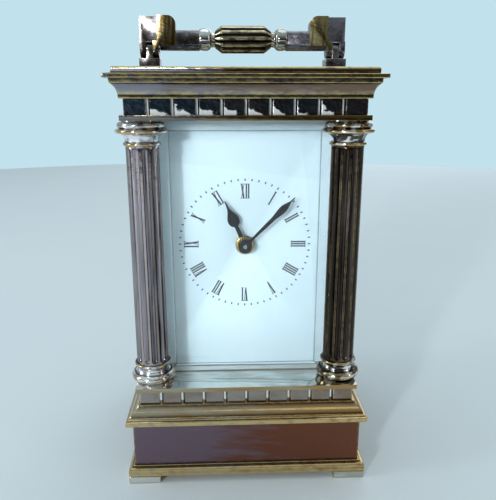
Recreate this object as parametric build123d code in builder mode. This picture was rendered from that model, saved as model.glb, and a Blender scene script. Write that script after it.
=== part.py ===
"""Miniature carriage clock, modelled as the pieces it comes apart into on a bench.

Millimetres. The origin is the middle of the footprint, on the surface the clock stands on.
The dial looks towards -Y, the door is at the back on +Y, and +Z is up.
"""
import math
import os

from build123d import *

# Clearances
running = 0.03  # radial, a pivot in its hole
easy = 0.06  # radial or side play of a piece that slides into its seat
door_gap = 0.2  # around the door
hinge_gap = 0.05  # on each side of a handle hinge tongue

# Case, across. Overhangs are measured outwards from the face of the two block friezes
frieze_width = 52.0
frieze_depth = 46.8
case_wall = 1.3
ledge_overhang = 0.85
base_lip_overhang = 3.3
base_bed_overhang = 0.6
plinth_overhang = 1.8
band_overhang = 3.25
cornice_lip_overhang = 3.4
cornice_fillet_overhang = 2.08
top_plate_overhang = 1.87
plinth_fillet_overhang = 0.4
base_shelf_inset = 0.45
base_shelf_width = 0.35
band_edge = 0.25
base_lip_edge = 0.15
base_cyma_radius = 2.6
cavetto_radius = 2.7

# Case, up
foot_height = 2.05
band_height = 2.0
plinth_height = 11.8
base_lip_height = 1.13
base_cyma_height = 3.2
frieze_height = 3.4
ledge_height = 1.1
column_height = 62.74
cornice_bed_height = 0.65
cavetto_height = 2.4
cornice_fillet_height = 1.04
cornice_lip_height = 0.85
cornice_slope_height = 0.26
top_plate_height = 1.17
top_plate_edge = 0.3
plinth_fillet_height = 0.4
base_shelf_rise = 0.55

# Feet and block friezes
foot_size = 7.8
frieze_pitch = 5.2
frieze_groove_width = 0.8
frieze_groove_depth = 0.6

# Columns: a turned cap and base with a fluted, slightly tapered shaft
column_inset_x = 2.8
column_inset_y = 5.7
shaft_bottom_radius = 3.86
shaft_top_radius = 3.72
torus_radius = 5.28
base_ring_radius = 4.22
capital_ring_radius = 5.9
bell_radius = 3.75
astragal_radius = 4.07
flute_count = 12
flute_radius = 0.8
flute_depth = 0.6
flute_start_angle = 15
flute_foot_gap = 0.35
flute_neck_gap = 0.25

# Turned profiles from the bottom up: radius, rise, and radius of the arc that leads there or 0
column_base_profile = (
    (torus_radius - 0.7, 0.0, 0),
    (torus_radius - 0.7, 2.1, -1.26),
    (torus_radius - 1.0, 2.1, 0),
    (base_ring_radius - 0.1, 3.85, 1.9),
    (base_ring_radius, 3.9, 0),
    (base_ring_radius, 4.6, -0.4),
    (shaft_bottom_radius, 4.7, 0),
)
capital_profile = (
    (shaft_top_radius, 0.0, 0),
    (astragal_radius - 0.2, 0.0, 0),
    (astragal_radius - 0.2, 0.85, -0.45),
    (bell_radius, 0.95, 0),
    (capital_ring_radius - 1.1, 2.75, 3.4),
    (capital_ring_radius - 0.35, 2.8, 0),
    (capital_ring_radius - 0.35, 3.7, -0.5),
    (capital_ring_radius - 1.1, 3.8, 0),
    (capital_ring_radius - 1.1, 5.15, -0.85),
    (capital_ring_radius - 1.5, 5.15, 0),
    (capital_ring_radius - 1.5, 5.65, 0),
)
column_base_height = column_base_profile[-1][1]
capital_height = capital_profile[-1][1]

# Glasses
glass_thickness = 1.6
side_glass_thickness = 1.4
bevel_width = 2.9
bevel_depth = 0.55
glass_groove_depth = 0.5
front_glass_inset = 7.35
side_glass_inset = 3.7
glass_bite = 1.0
top_window_width = 33.0
top_window_depth = 27.0
top_glass_margin = 1.2
top_glass_thickness = 1.5
top_glass_proud = 0.15
top_rim_depth = 0.9
top_rim_width = 1.5

# Handle
handle_reach = 22.7
lug_width = 5.0
lug_depth = 5.0
lug_height = 3.1
tongue_thickness = 1.6
pivot_rise = 5.2
knuckle_radius = 1.95
knuckle_side_gap = 0.15
post_width = 4.2
post_depth = 3.8
post_top = 12.6
crook_width = 4.3
crook_depth = 3.9
crook_bottom = 6.1
crook_top = 12.9
crook_round = 1.9
strap_height = 4.7
strap_depth = 3.5
strap_rise = 5.0
strap_round = 1.6
strap_bite = 0.4
grip_length = 13.6
grip_flat_length = 10.4
grip_radius = 3.2
grip_end_radius = 2.0
grip_rise = 7.6
reed_count = 12
reed_radius = 0.85
ferrule_length = 4.2
ferrule_radius = 2.6
ferrule_neck_length = 0.9
ferrule_shoulder = 1.2
ferrule_shoulder_radius = 1.5
ferrule_crown_radius = 6.0
ferrule_edge = 0.2
handle_rod_radius = 0.9
handle_rod_bite = 2.3
handle_rod_end_gap = 0.2
handle_pin_radius = 0.6
handle_pin_proud = 0.3

# Back door
door_thickness = 2.0
door_setback = 3.5
door_column_gap = 0.24
door_pivot_inset = 2.2
door_stile = 3.0
door_rebate = 0.8
door_glass_thickness = 1.2
door_lip_thickness = 0.7
door_pin_radius = 0.55
door_pin_length = 1.1
door_pin_end_gap = 0.2
door_rail_column_gap = 0.15
sill_height = 5.4
head_height = 6.5
catch_drop = 4.6
catch_spindle_radius = 0.6
catch_knob_radius = 1.5
catch_knob_length = 2.6
catch_tongue_length = 6.6
catch_tongue_width = 2.0
catch_tongue_thickness = 0.8
catch_gap = 0.1

# Dial and hands
dial_front_y = -10.5
dial_thickness = 1.2
dial_side_gap = 0.3
dial_end_gap = 0.15
dial_foot_radius = 0.8
dial_foot_bite = 1.0
dial_foot_spread = 12.0
dial_foot_drop = 9.0
dial_foot_rise = 8.0
dial_hole_radius = 1.95
hand_thickness = 0.35
hour_hand_gap = 1.0
minute_hand_gap = 2.05
hour_angle = 335.9
minute_angle = 45.0
hour_hand_length = 12.0
minute_hand_length = 17.0
hand_root = 1.0
hand_point = 0.1
hour_boss_radius = 2.3
hour_boss_height = 0.35
hour_stem_half = 0.45
hour_stem_flare = 0.15
pear_start = 5.2
pear_middle = 7.3
pear_end = 9.9
pear_half = 1.4
pear_tip_half = 0.3
hour_tip_half = 0.12
minute_boss_radius = 1.7
minute_root_half = 0.58
minute_waist_half = 0.3
minute_waist = 2.4
minute_stem_half = 0.5
spade_start = 9.8
spade_middle = 13.4
spade_end = 15.4
spade_half = 0.82
spade_tip_half = 0.22
minute_tip_half = 0.1
collet_radius = 1.7
collet_thickness = 0.55
collet_round = 0.25
arbor_tip_length = 0.75

# Movement frame
plate_half_width = 17.0
plate_thickness = 1.4
front_plate_y = -5.8
plate_gap = 12.2
plate_top = 77.5
pillar_radius = 1.8
pillar_spread = 14.6
lower_pillar_rise = 2.6
upper_pillar_drop = 3.6

# Train, from the mainspring to the escape wheel
dial_centre_z = 57.0
barrel_drop = 13.8
barrel_teeth = 72
intermediate_leaves = 12
barrel_module = 0.3
intermediate_teeth = 60
centre_leaves = 10
intermediate_module = 0.24
centre_teeth = 64
third_leaves = 8
centre_module = 0.2
third_teeth = 60
fourth_leaves = 8
third_module = 0.18
contrate_teeth = 60
escape_leaves = 6
contrate_radius = 5.1
contrate_rim_width = 0.6
contrate_rim_height = 1.5
contrate_web = 0.5
contrate_tooth_height = 0.4
contrate_tooth_width = 0.19
contrate_tooth_inset = 0.02
fourth_x = -5.0
fourth_rise = 11.6
centre_wheel_y = -3.9
intermediate_wheel_y = -2.6
third_wheel_y = 3.2
contrate_y = -1.4
wheel_thickness = 0.6
arbor_radius = 0.6
pivot_radius = 0.35
centre_arbor_radius = 0.5
centre_pivot_radius = 0.85
pivot_end_gap = 0.2  # from a pivot's end to the outer face of its plate
shoulder_gap = 0.1  # end play between an arbor's shoulder and its plate
wheel_hub_radius = 1.5
wheel_arms = 4
wheel_rim_width = 0.8
wheel_arm_width = 0.8
wheel_arm_turn = 20
intermediate_wheel_thickness = 0.7
centre_hub_radius = 1.8
centre_arms = 5
contrate_hub_radius = 1.3
pinion_overlap = 0.15
arbor_key_length = 3.2
arbor_key_width = 1.3
arbor_key_gap = 0.6
arbor_back_length = 1.0

# Barrel and winding work
barrel_front_y = -1.2
barrel_drum_radius = 10.1
barrel_length = 7.0
barrel_wall = 0.6
barrel_rim_thickness = 1.2
barrel_arbor_radius = 1.5
barrel_core_radius = 2.9
winding_square = 1.9
winding_square_end = 13.7
spring_pitch = 1.0
spring_thickness = 0.25
spring_half_turns = 12
spring_end_gap = 0.2
spring_drum_gap = 0.35
barrel_cap_thickness = 0.6
barrel_arbor_end_gap = 0.1
ratchet_teeth = 24
ratchet_radius = 4.8
ratchet_tooth_height = 0.75
ratchet_thickness = 0.9
ratchet_gap = 0.2
click_post_offset = (7.0, 3.4)
click_boss_radius = 1.1
click_nose_angle = 75
click_nose_gap = 0.15
click_nose_width = 0.5
click_root_width = 1.0
click_spring_foot = (5.2, 4.2)
click_spring_tip = (1.9, 1.35)
click_spring_boss = 1.0
click_spring_half = 0.2

# Motion work, between the dial and the front plate
cannon_teeth = 12
minute_wheel_teeth = 36
minute_pinion_leaves = 10
hour_wheel_teeth = 40
motion_module = 0.22
minute_wheel_direction = -35.0
cannon_pipe_radius = 0.95
hour_pipe_radius = 1.5
cannon_leaf_length = 1.1
cannon_plate_gap = 0.4
motion_wheel_gap = 0.35
minute_wheel_gap = 0.25
minute_wheel_rim = 0.6
minute_wheel_arm = 0.7
minute_stud_length = 2.9

# Platform escapement, on top of the plates
platform_half_width = 13.0
platform_thickness = 1.5
platform_margin = 0.4
platform_corner = 1.2
platform_screw_inset = 1.4
escape_pivot = 0.3
escape_arbor_radius = 0.5
escape_arbor_hole = 0.9
escape_arbor_offset = 0.51  # from the middle of the contrate teeth
pivot_proud = 0.5
cock_end_gap = 0.1
escape_teeth = 15
escape_radius = 3.1
escape_tooth_height = 0.75
escape_wheel_thickness = 0.45
escape_hub_radius = 0.9
escape_window_radius = 1.95
escape_arm_width = 0.5
escape_leaf_length = 1.5
escape_leaf_drop = 0.7  # below the pitch line of the contrate teeth
potence_drop = 2.2  # below the pitch line of the contrate teeth
potence_width = 2.2
potence_thickness = 1.0
potence_front = 0.9
potence_inner = 1.6
potence_back = 2.8
pallet_reach = 3.75
pallet_clearance = 0.3
pallet_arm_width = 1.1
pallet_arm_length = 3.6
pallet_angle = 30
stone_width = 0.7
stone_length = 0.9
lever_length = 5.4
lever_width = 0.5
lever_thickness = 0.6
lever_staff_radius = 0.45
fork_length = 0.7
fork_width = 1.5
fork_slot = 0.6
roller_radius = 0.9
roller_rim = 0.35
roller_thickness = 0.5
roller_rise = 0.45
roller_pin_radius = 0.18
roller_pin_reach = 0.4
balance_radius = 5.4
balance_rim = 0.75
balance_thickness = 0.8
balance_hub_radius = 1.1
balance_arms = 3
balance_arm_turn = 30
balance_screws = 12
balance_screw_length = 0.8
balance_screw_width = 0.5
balance_screw_height = 0.4
staff_radius = 0.5
staff_foot_gap = 0.3
escape_wheel_rise = 1.2
train_cock_rise = 2.6
balance_rise = 3.6
balance_cock_rise = 5.7
cock_thickness = 0.7
train_cock_foot_size = 2.4
train_cock_foot_offset = (1.6, 2.4)
train_cock_width = 2.6
balance_cock_foot_inset = 2.0
balance_cock_foot_width = 5.0
balance_cock_arm_width = 3.0
balance_cock_end_radius = 1.9
balance_cock_back_gap = 0.4
balance_cock_wheel_gap = 0.75
index_bore = 0.7
index_seat_height = 0.5
hairspring_pitch = 0.6
hairspring_thickness = 0.15
hairspring_half_turns = 6
hairspring_start = 0.95
hairspring_width = 0.35
stud_size = 0.6
stud_offset = 0.3
stud_arm_width = 0.9
index_length = 4.2
index_width = 0.5
index_ring_radius = 1.2
index_thickness = 0.35
index_gap = 0.05

# Screws: one size for the case, one for the movement
case_screw_radius = 0.7
case_screw_head = 1.3
case_screw_head_height = 0.9
case_screw_length = 5.0
case_screw_tip_gap = 0.3
small_screw_radius = 0.45
small_screw_head = 0.95
small_screw_head_height = 0.6
small_screw_length = 3.2
slot_width = 0.3
click_screw_gap = 0.05

# Tooth shapes, as corners of (height from the pitch circle in modules, share of the pitch)
wheel_tooth = ((-1.35, -0.3), (1.0, -0.11), (1.0, 0.11), (-1.35, 0.3))
pinion_leaf = ((-1.45, -0.17), (0.0, -0.17), (0.75, -0.05), (0.75, 0.05), (0.0, 0.17), (-1.45, 0.17))
ratchet_tooth = ((0.0, 0.0), (-1.0, 0.12))
escape_tooth = ((-1.0, -0.12), (0.0, 0.0), (0.0, 0.12), (-1.0, 0.3))
wheel_root = -wheel_tooth[0][0]

# Heights of the joints between the pieces of the case
band_z = foot_height
plinth_z = band_z + band_height
base_lip_z = plinth_z + plinth_height
base_cyma_z = base_lip_z + base_lip_height
base_frieze_z = base_cyma_z + base_cyma_height
base_plate_z = base_frieze_z + frieze_height
floor_z = base_plate_z + ledge_height
ceiling_z = floor_z + column_height
top_frieze_z = ceiling_z + ledge_height
cornice_z = top_frieze_z + frieze_height
cavetto_z = cornice_z + cornice_bed_height
cornice_fillet_z = cavetto_z + cavetto_height
cornice_lip_z = cornice_fillet_z + cornice_fillet_height
cornice_slope_z = cornice_lip_z + cornice_lip_height
top_plate_z = cornice_slope_z + cornice_slope_height
case_top = top_plate_z + top_plate_height

# Places that several pieces share
half_width = frieze_width / 2
half_depth = frieze_depth / 2
column_x = half_width - column_inset_x
column_y = half_depth - column_inset_y
front_glass_y = -half_depth + front_glass_inset
side_glass_x = half_width - side_glass_inset
glass_end_x = column_x - shaft_bottom_radius + glass_bite
glass_end_y = column_y - shaft_bottom_radius + glass_bite
dial_half_width = side_glass_x - side_glass_thickness - dial_side_gap
door_side_reach = column_x - shaft_bottom_radius - door_column_gap
door_inner_y = column_y - door_setback
dial_back_y = dial_front_y + dial_thickness
front_plate_back = front_plate_y + plate_thickness
back_plate_y = front_plate_back + plate_gap
back_plate_back = back_plate_y + plate_thickness
lower_pillar_z = floor_z + lower_pillar_rise
upper_pillar_z = plate_top - upper_pillar_drop
movement_y = (front_plate_y + back_plate_back) / 2


def across_plane(x, y, z):
    """A plane whose normal points to the back of the clock."""
    return Plane(origin=(x, y, z), x_dir=(-1, 0, 0), z_dir=(0, 1, 0))


def dial_plane(x, y, z, clock_angle=0.0):
    """A plane that faces the viewer, with its own Y turned clockwise from twelve o'clock."""
    turn = math.radians(clock_angle)
    return Plane(origin=(x, y, z), x_dir=(math.cos(turn), 0, -math.sin(turn)), z_dir=(0, -1, 0))


def level_plane(x, y, z):
    """A horizontal plane at a point."""
    return Plane(origin=(x, y, z))


def direction(start, end):
    """Angle from one arbor to the next, in degrees, as an across_plane measures it."""
    return math.degrees(math.atan2(end[1] - start[1], start[0] - end[0]))


def third_corner(start, end, from_start, from_end, side):
    """The point at two given distances from two arbors, on one side of the line between them."""
    span = math.dist(start, end)
    along = (from_start**2 - from_end**2 + span**2) / (2 * span)
    off = side * math.sqrt(from_start**2 - along**2)
    ux = (end[0] - start[0]) / span
    uz = (end[1] - start[1]) / span
    return (start[0] + along * ux - off * uz, start[1] + along * uz + off * ux)


# Arbor centres, as (x, z)
centre_at = (0.0, dial_centre_z)
barrel_at = (0.0, dial_centre_z - barrel_drop)
barrel_distance = barrel_module * (barrel_teeth + intermediate_leaves) / 2
intermediate_distance = intermediate_module * (intermediate_teeth + centre_leaves) / 2
intermediate_at = third_corner(centre_at, barrel_at, intermediate_distance, barrel_distance, 1)
fourth_at = (fourth_x, dial_centre_z + fourth_rise)
third_distance = centre_module * (centre_teeth + third_leaves) / 2
fourth_distance = third_module * (third_teeth + fourth_leaves) / 2
third_at = third_corner(centre_at, fourth_at, third_distance, fourth_distance, 1)
motion_distance = motion_module * (cannon_teeth + minute_wheel_teeth) / 2
hour_module = 2 * motion_distance / (minute_pinion_leaves + hour_wheel_teeth)
minute_turn = math.radians(minute_wheel_direction)
minute_wheel_at = (
    motion_distance * math.cos(minute_turn),
    dial_centre_z + motion_distance * math.sin(minute_turn),
)


def frieze_path():
    """The outline of the frieze faces, started in the middle of the front."""
    corners = [(0, -1), (1, -1), (1, 1), (-1, 1), (-1, -1)]
    return Wire.make_polygon([(x * half_width, y * half_depth, 0) for x, y in corners], close=True)


# A section drawn on this plane has X outwards from the frieze face and Y as the height
section_plane = Plane(origin=(0, -half_depth, 0), x_dir=(0, -1, 0), z_dir=(-1, 0, 0))


def draw_profile(points):
    """Lines and arcs from point to point, each given as (x, z, arc radius or 0)."""
    for start, end in zip(points, points[1:]):
        if end[2] == 0:
            Line(start[:2], end[:2])
        else:
            RadiusArc(start[:2], end[:2], end[2])


def rectangular_box(x0, x1, y0, y1, z0, z1):
    """A plain block between two corners."""
    with BuildPart(mode=Mode.PRIVATE) as block:
        with BuildSketch(Plane.XY.offset(z0)):
            with Locations(((x0 + x1) / 2, (y0 + y1) / 2)):
                Rectangle(x1 - x0, y1 - y0)
        extrude(amount=z1 - z0)
    return block.part


def toothed_face(plane, teeth, radius, unit, corners, turn):
    """An outline that repeats one tooth's corners round a circle, the first tooth centred at turn."""
    step = 360 / teeth
    outline = []
    for tooth in range(teeth):
        for height, share in corners:
            angle = math.radians(turn + (tooth + share) * step)
            reach = radius + height * unit
            outline.append((reach * math.cos(angle), reach * math.sin(angle)))
    with BuildSketch(plane) as face:
        with BuildLine():
            Polyline(*outline, close=True)
        make_face()
    return face.sketch


def wheel_face(plane, teeth, module, turn):
    """A toothed wheel's outline with straight-sided teeth, one of them centred at turn."""
    return toothed_face(plane, teeth, module * teeth / 2, module, wheel_tooth, turn)


def pinion_face(plane, leaves, module, turn):
    """A pinion's outline with radial flanks and pointed leaves, one of them centred at turn."""
    return toothed_face(plane, leaves, module * leaves / 2, module, pinion_leaf, turn)


def window_radius(teeth, module, rim_width):
    """How far a wheel's openings reach, inside its teeth and its rim."""
    return module * (teeth / 2 - wheel_root) - rim_width


def crossings(plane, hub, rim, arms, arm_width, turn=0.0):
    """The openings between a wheel's arms."""
    with BuildSketch(plane) as windows:
        Circle(rim)
        Circle(hub, mode=Mode.SUBTRACT)
        with PolarLocations(0, arms, start_angle=turn):
            Rectangle(rim + arm_width, arm_width, align=(Align.MIN, Align.CENTER), mode=Mode.SUBTRACT)
    return windows.sketch


def disc(plane, radius, bore=0.0):
    """A round face, with a hole where a bore is given."""
    with BuildSketch(plane) as face:
        Circle(radius)
        if bore > 0:
            Circle(bore, mode=Mode.SUBTRACT)
    return face.sketch


def spiral_face(plane, first_radius, pitch, half_turns, thickness):
    """A flat spiral ribbon seen edge on, made of half turns that run smoothly into each other."""
    with BuildSketch(plane) as face:
        with BuildLine():
            for edge in (-thickness / 2, thickness / 2):
                for turn in range(half_turns):
                    middle = (turn % 2) * pitch / 2
                    CenterArc((middle, 0), first_radius + turn * pitch / 2 + edge, 180 * turn, 180)
            last = half_turns - 1
            last_middle = (last % 2) * pitch / 2
            last_radius = first_radius + last * pitch / 2
            side = math.cos(math.pi * half_turns)
            Line((first_radius - thickness / 2, 0), (first_radius + thickness / 2, 0))
            Line(
                (last_middle + side * (last_radius - thickness / 2), 0),
                (last_middle + side * (last_radius + thickness / 2), 0),
            )
        make_face()
    return face.sketch


def slotted_screws(planes, radius, head, head_height, length):
    """One set of slotted screws, each with its head seated on its plane."""
    with BuildPart() as screws:
        for plane in planes:
            extrude(disc(plane, head), amount=head_height)
            extrude(disc(plane, radius), amount=-length)
            with BuildSketch(plane.offset(head_height / 2)):
                Rectangle(2 * head + 1, slot_width)
            extrude(amount=head_height, mode=Mode.SUBTRACT)
    return screws.part


pieces = []


def keep(part, label):
    """Name a finished piece and put it on the list of pieces to write."""
    part.label = label
    pieces.append(part)


# Feet: four square pads under the corners of the bottom band
with BuildPart() as feet:
    foot_x = half_width + band_overhang - foot_size / 2
    foot_y = half_depth + band_overhang - foot_size / 2
    with BuildSketch(Plane.XY):
        with GridLocations(2 * foot_x, 2 * foot_y, 2, 2):
            Rectangle(foot_size, foot_size)
    extrude(amount=foot_height)
keep(feet.part, "feet")

# Base plinth: bottom band, tall plain face, lip and cyma in one hollow casting
plinth_fillet = plinth_overhang + plinth_fillet_overhang
shelf_overhang = base_lip_overhang - base_shelf_inset
shelf_end = shelf_overhang - base_shelf_width
shelf_z = base_cyma_z + base_shelf_rise
waist_overhang = (shelf_end + base_bed_overhang) / 2
waist_z = (shelf_z + base_frieze_z) / 2
with BuildPart() as base_plinth:
    with BuildSketch(section_plane):
        with BuildLine():
            draw_profile(
                (
                    (-case_wall, band_z, 0),
                    (band_overhang, band_z, 0),
                    (band_overhang, plinth_z - band_edge, 0),
                    (band_overhang - band_edge, plinth_z, 0),
                    (plinth_fillet, plinth_z, 0),
                    (plinth_fillet, plinth_z + plinth_fillet_height, 0),
                    (plinth_overhang, plinth_z + plinth_fillet_height, 0),
                    (plinth_overhang, base_lip_z, 0),
                    (base_lip_overhang, base_lip_z, 0),
                    (base_lip_overhang, base_cyma_z, 0),
                    (shelf_overhang, base_cyma_z + base_lip_edge, 0),
                    (shelf_overhang, shelf_z, 0),
                    (shelf_end, shelf_z, 0),
                    (waist_overhang, waist_z, base_cyma_radius),
                    (base_bed_overhang, base_frieze_z, -base_cyma_radius),
                    (-case_wall, base_frieze_z, 0),
                    (-case_wall, band_z, 0),
                )
            )
        make_face()
    sweep(path=frieze_path(), transition=Transition.RIGHT)
keep(base_plinth.part, "base_plinth")


def block_frieze(bottom):
    """A band of square blocks, parted by upright grooves, with a hollow inside."""
    with BuildPart() as frieze:
        with BuildSketch(Plane.XY.offset(bottom)):
            Rectangle(frieze_width, frieze_depth)
            Rectangle(frieze_width - 2 * case_wall, frieze_depth - 2 * case_wall, mode=Mode.SUBTRACT)
        extrude(amount=frieze_height)
        front_grooves = round(frieze_width / frieze_pitch) - 1
        side_grooves = round(frieze_depth / frieze_pitch) - 1
        with BuildSketch(Plane.XY.offset(bottom)):
            with GridLocations(frieze_width / (front_grooves + 1), frieze_depth, front_grooves, 2):
                Rectangle(frieze_groove_width, 2 * frieze_groove_depth)
            with GridLocations(frieze_width, frieze_depth / (side_grooves + 1), 2, side_grooves):
                Rectangle(2 * frieze_groove_depth, frieze_groove_width)
        extrude(amount=frieze_height, mode=Mode.SUBTRACT)
    return frieze.part


keep(block_frieze(base_frieze_z), "base_frieze")
keep(block_frieze(top_frieze_z), "top_frieze")

# Grooves in the two ledge plates hold the ends of the three fixed glasses
groove_bite = glass_end_x + easy
front_groove = (-groove_bite, groove_bite, front_glass_y - easy, front_glass_y + glass_thickness + easy)
side_groove_x = (side_glass_x - side_glass_thickness - easy, side_glass_x + easy)
side_groove_y = glass_end_y + easy


def glass_grooves(bottom, height):
    """The three glass grooves as blocks to cut away."""
    x0, x1, y0, y1 = front_groove
    front = rectangular_box(x0, x1, y0, y1, bottom, bottom + height)
    inner, outer = side_groove_x
    right = rectangular_box(inner, outer, -side_groove_y, side_groove_y, bottom, bottom + height)
    left = rectangular_box(-outer, -inner, -side_groove_y, side_groove_y, bottom, bottom + height)
    return [front, right, left]


ledge_width = frieze_width + 2 * ledge_overhang
ledge_depth = frieze_depth + 2 * ledge_overhang
base_screw_points = [(x * pillar_spread, movement_y) for x in (-1, 1)]
column_points = [(x * column_x, y * column_y) for y in (-1, 1) for x in (-1, 1)]
case_hole_radius = case_screw_radius + easy

# Base plate: the ledge under the columns, and the floor that the movement is screwed to
with BuildPart() as base_plate:
    with BuildSketch(Plane.XY.offset(base_plate_z)):
        Rectangle(ledge_width, ledge_depth)
        with Locations(*column_points, *base_screw_points):
            Circle(case_hole_radius, mode=Mode.SUBTRACT)
    extrude(amount=ledge_height)
    add(glass_grooves(floor_z - glass_groove_depth, glass_groove_depth + 1), mode=Mode.SUBTRACT)
keep(base_plate.part, "base_plate")

# Top ledge plate: sits on the columns, with a window over the platform escapement
with BuildPart() as top_ledge:
    with BuildSketch(Plane.XY.offset(ceiling_z)):
        Rectangle(ledge_width, ledge_depth)
        Rectangle(top_window_width, top_window_depth, mode=Mode.SUBTRACT)
        with Locations(*column_points):
            Circle(case_hole_radius, mode=Mode.SUBTRACT)
    extrude(amount=ledge_height)
    add(glass_grooves(ceiling_z - 1, glass_groove_depth + 1), mode=Mode.SUBTRACT)
keep(top_ledge.part, "top_ledge")

# Cornice: bed fillet, cavetto, fillet and lip, swept around the top
with BuildPart() as cornice:
    with BuildSketch(section_plane):
        with BuildLine():
            draw_profile(
                (
                    (-case_wall, cornice_z, 0),
                    (ledge_overhang, cornice_z, 0),
                    (ledge_overhang, cavetto_z, 0),
                    (cornice_fillet_overhang, cornice_fillet_z, cavetto_radius),
                    (cornice_fillet_overhang, cornice_lip_z, 0),
                    (cornice_lip_overhang, cornice_lip_z, 0),
                    (cornice_lip_overhang, cornice_slope_z, 0),
                    (top_plate_overhang, top_plate_z, 0),
                    (-case_wall, top_plate_z, 0),
                    (-case_wall, cornice_z, 0),
                )
            )
        make_face()
    sweep(path=frieze_path(), transition=Transition.RIGHT)
keep(cornice.part, "cornice")

# Top plate: closes the case, with a rebated window for the top glass
top_glass_seat = case_top + top_glass_proud - top_glass_thickness
top_glass_width = top_window_width + 2 * top_glass_margin
top_glass_depth = top_window_depth + 2 * top_glass_margin
with BuildPart() as top_plate:
    with BuildSketch(Plane.XY.offset(top_plate_z)):
        Rectangle(frieze_width + 2 * top_plate_overhang, frieze_depth + 2 * top_plate_overhang)
    extrude(amount=top_plate_height)
    chamfer(top_plate.faces().sort_by(Axis.Z)[-1].edges(), length=top_plate_edge)
    with BuildSketch(Plane.XY.offset(top_plate_z - top_rim_depth)):
        Rectangle(top_glass_width + 2 * top_rim_width, top_glass_depth + 2 * top_rim_width)
    extrude(amount=top_rim_depth)
    with BuildSketch(Plane.XY.offset(top_plate_z - top_rim_depth)):
        Rectangle(top_window_width, top_window_depth)
    extrude(amount=top_rim_depth + top_plate_height, mode=Mode.SUBTRACT)
    with BuildSketch(Plane.XY.offset(top_glass_seat)):
        Rectangle(top_glass_width + 2 * easy, top_glass_depth + 2 * easy)
    extrude(amount=top_glass_thickness + 1, mode=Mode.SUBTRACT)
keep(top_plate.part, "top_plate")


def bevelled_glass(plane, width, height, thickness, bevel):
    """A flat glass with a wide polished bevel around the face that its plane shows."""
    with BuildPart() as pane:
        with BuildSketch(plane.offset(-thickness)):
            Rectangle(width, height)
        extrude(amount=thickness - bevel_depth)
        with BuildSketch(plane.offset(-bevel_depth)):
            Rectangle(width, height)
        with BuildSketch(plane):
            Rectangle(width - 2 * bevel, height - 2 * bevel)
        loft(ruled=True)
    return pane.part


glass_bottom = floor_z - glass_groove_depth + easy
glass_height = ceiling_z + glass_groove_depth - easy - glass_bottom
glass_middle = glass_bottom + glass_height / 2
front_pane = bevelled_glass(
    dial_plane(0, front_glass_y, glass_middle), 2 * glass_end_x, glass_height, glass_thickness, bevel_width
)
keep(front_pane, "front_glass")
for label, side in (("left_glass", -1), ("right_glass", 1)):
    outwards = Plane(origin=(side * side_glass_x, 0, glass_middle), x_dir=(0, side, 0), z_dir=(side, 0, 0))
    keep(bevelled_glass(outwards, 2 * glass_end_y, glass_height, side_glass_thickness, bevel_width), label)
top_pane = bevelled_glass(
    level_plane(0, 0, top_glass_seat + top_glass_thickness),
    top_glass_width, top_glass_depth, top_glass_thickness, bevel_width,
)
keep(top_pane, "top_glass")


def column(x, y):
    """One column: torus base, fluted shaft and turned capital, notched for the glasses."""
    neck_z = ceiling_z - capital_height
    flute_start = floor_z + column_base_height + flute_radius + flute_foot_gap
    flute_end = neck_z - flute_radius - flute_neck_gap
    base = [(radius, floor_z + rise, arc) for radius, rise, arc in column_base_profile]
    capital = [(radius, neck_z + rise, arc) for radius, rise, arc in capital_profile]
    with BuildPart() as post:
        with BuildSketch(Plane(origin=(x, y, 0), x_dir=(1, 0, 0), z_dir=(0, -1, 0))):
            with BuildLine():
                draw_profile([(0, floor_z, 0), *base, *capital, (0, ceiling_z, 0), (0, floor_z, 0)])
            make_face()
        revolve(axis=Axis((x, y, 0), (0, 0, 1)))
        cutter_radius = shaft_bottom_radius - flute_depth + flute_radius
        with Locations((x, y, (flute_start + flute_end) / 2)):
            with PolarLocations(cutter_radius, flute_count, start_angle=flute_start_angle):
                Cylinder(flute_radius, flute_end - flute_start, mode=Mode.SUBTRACT)
        for end in (flute_start, flute_end):
            with Locations((x, y, end)):
                with PolarLocations(cutter_radius, flute_count, start_angle=flute_start_angle):
                    Sphere(flute_radius, mode=Mode.SUBTRACT)
        for plane in (level_plane(x, y, floor_z), level_plane(x, y, ceiling_z - case_screw_length)):
            extrude(disc(plane, case_hole_radius), amount=case_screw_length, mode=Mode.SUBTRACT)
        add(glass_grooves(floor_z, column_height), mode=Mode.SUBTRACT)
    return post.part


for label, x, y in (
    ("column_front_left", -1, -1),
    ("column_front_right", 1, -1),
    ("column_rear_left", -1, 1),
    ("column_rear_right", 1, 1),
):
    keep(column(x * column_x, y * column_y), label)

# Case screws: up into the columns and the lower pillars, and down into the columns
under = [Plane(origin=(x, y, base_plate_z), z_dir=(0, 0, -1)) for x, y in column_points + base_screw_points]
over = [level_plane(x, y, top_frieze_z) for x, y in column_points]
keep(
    slotted_screws(
        under + over,
        case_screw_radius,
        case_screw_head,
        case_screw_head_height,
        case_screw_length - case_screw_tip_gap,
    ),
    "case_screws",
)

# Handle: fixed lugs, two arms that fold on them, ferrules, a reeded grip and the rod through it
pivot_z = case_top + pivot_rise
lug_top = case_top + lug_height
hinge_start = handle_reach - tongue_thickness / 2
with BuildPart() as handle_lugs:
    for side in (-1, 1):
        with BuildSketch(level_plane(side * handle_reach, 0, case_top)):
            Rectangle(lug_width, lug_depth)
        extrude(amount=lug_height)
        with BuildSketch(Plane.YZ.offset(side * handle_reach - tongue_thickness / 2)):
            with Locations((0, pivot_z)):
                Circle(knuckle_radius - knuckle_side_gap)
            with Locations((0, (pivot_z + lug_top) / 2)):
                Rectangle(2 * (knuckle_radius - knuckle_side_gap), pivot_z - lug_top)
        extrude(amount=tongue_thickness)
        with BuildSketch(Plane.YZ.offset(side * handle_reach - lug_width / 2)):
            with Locations((0, pivot_z)):
                Circle(handle_pin_radius + running)
        extrude(amount=lug_width, mode=Mode.SUBTRACT)
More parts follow.
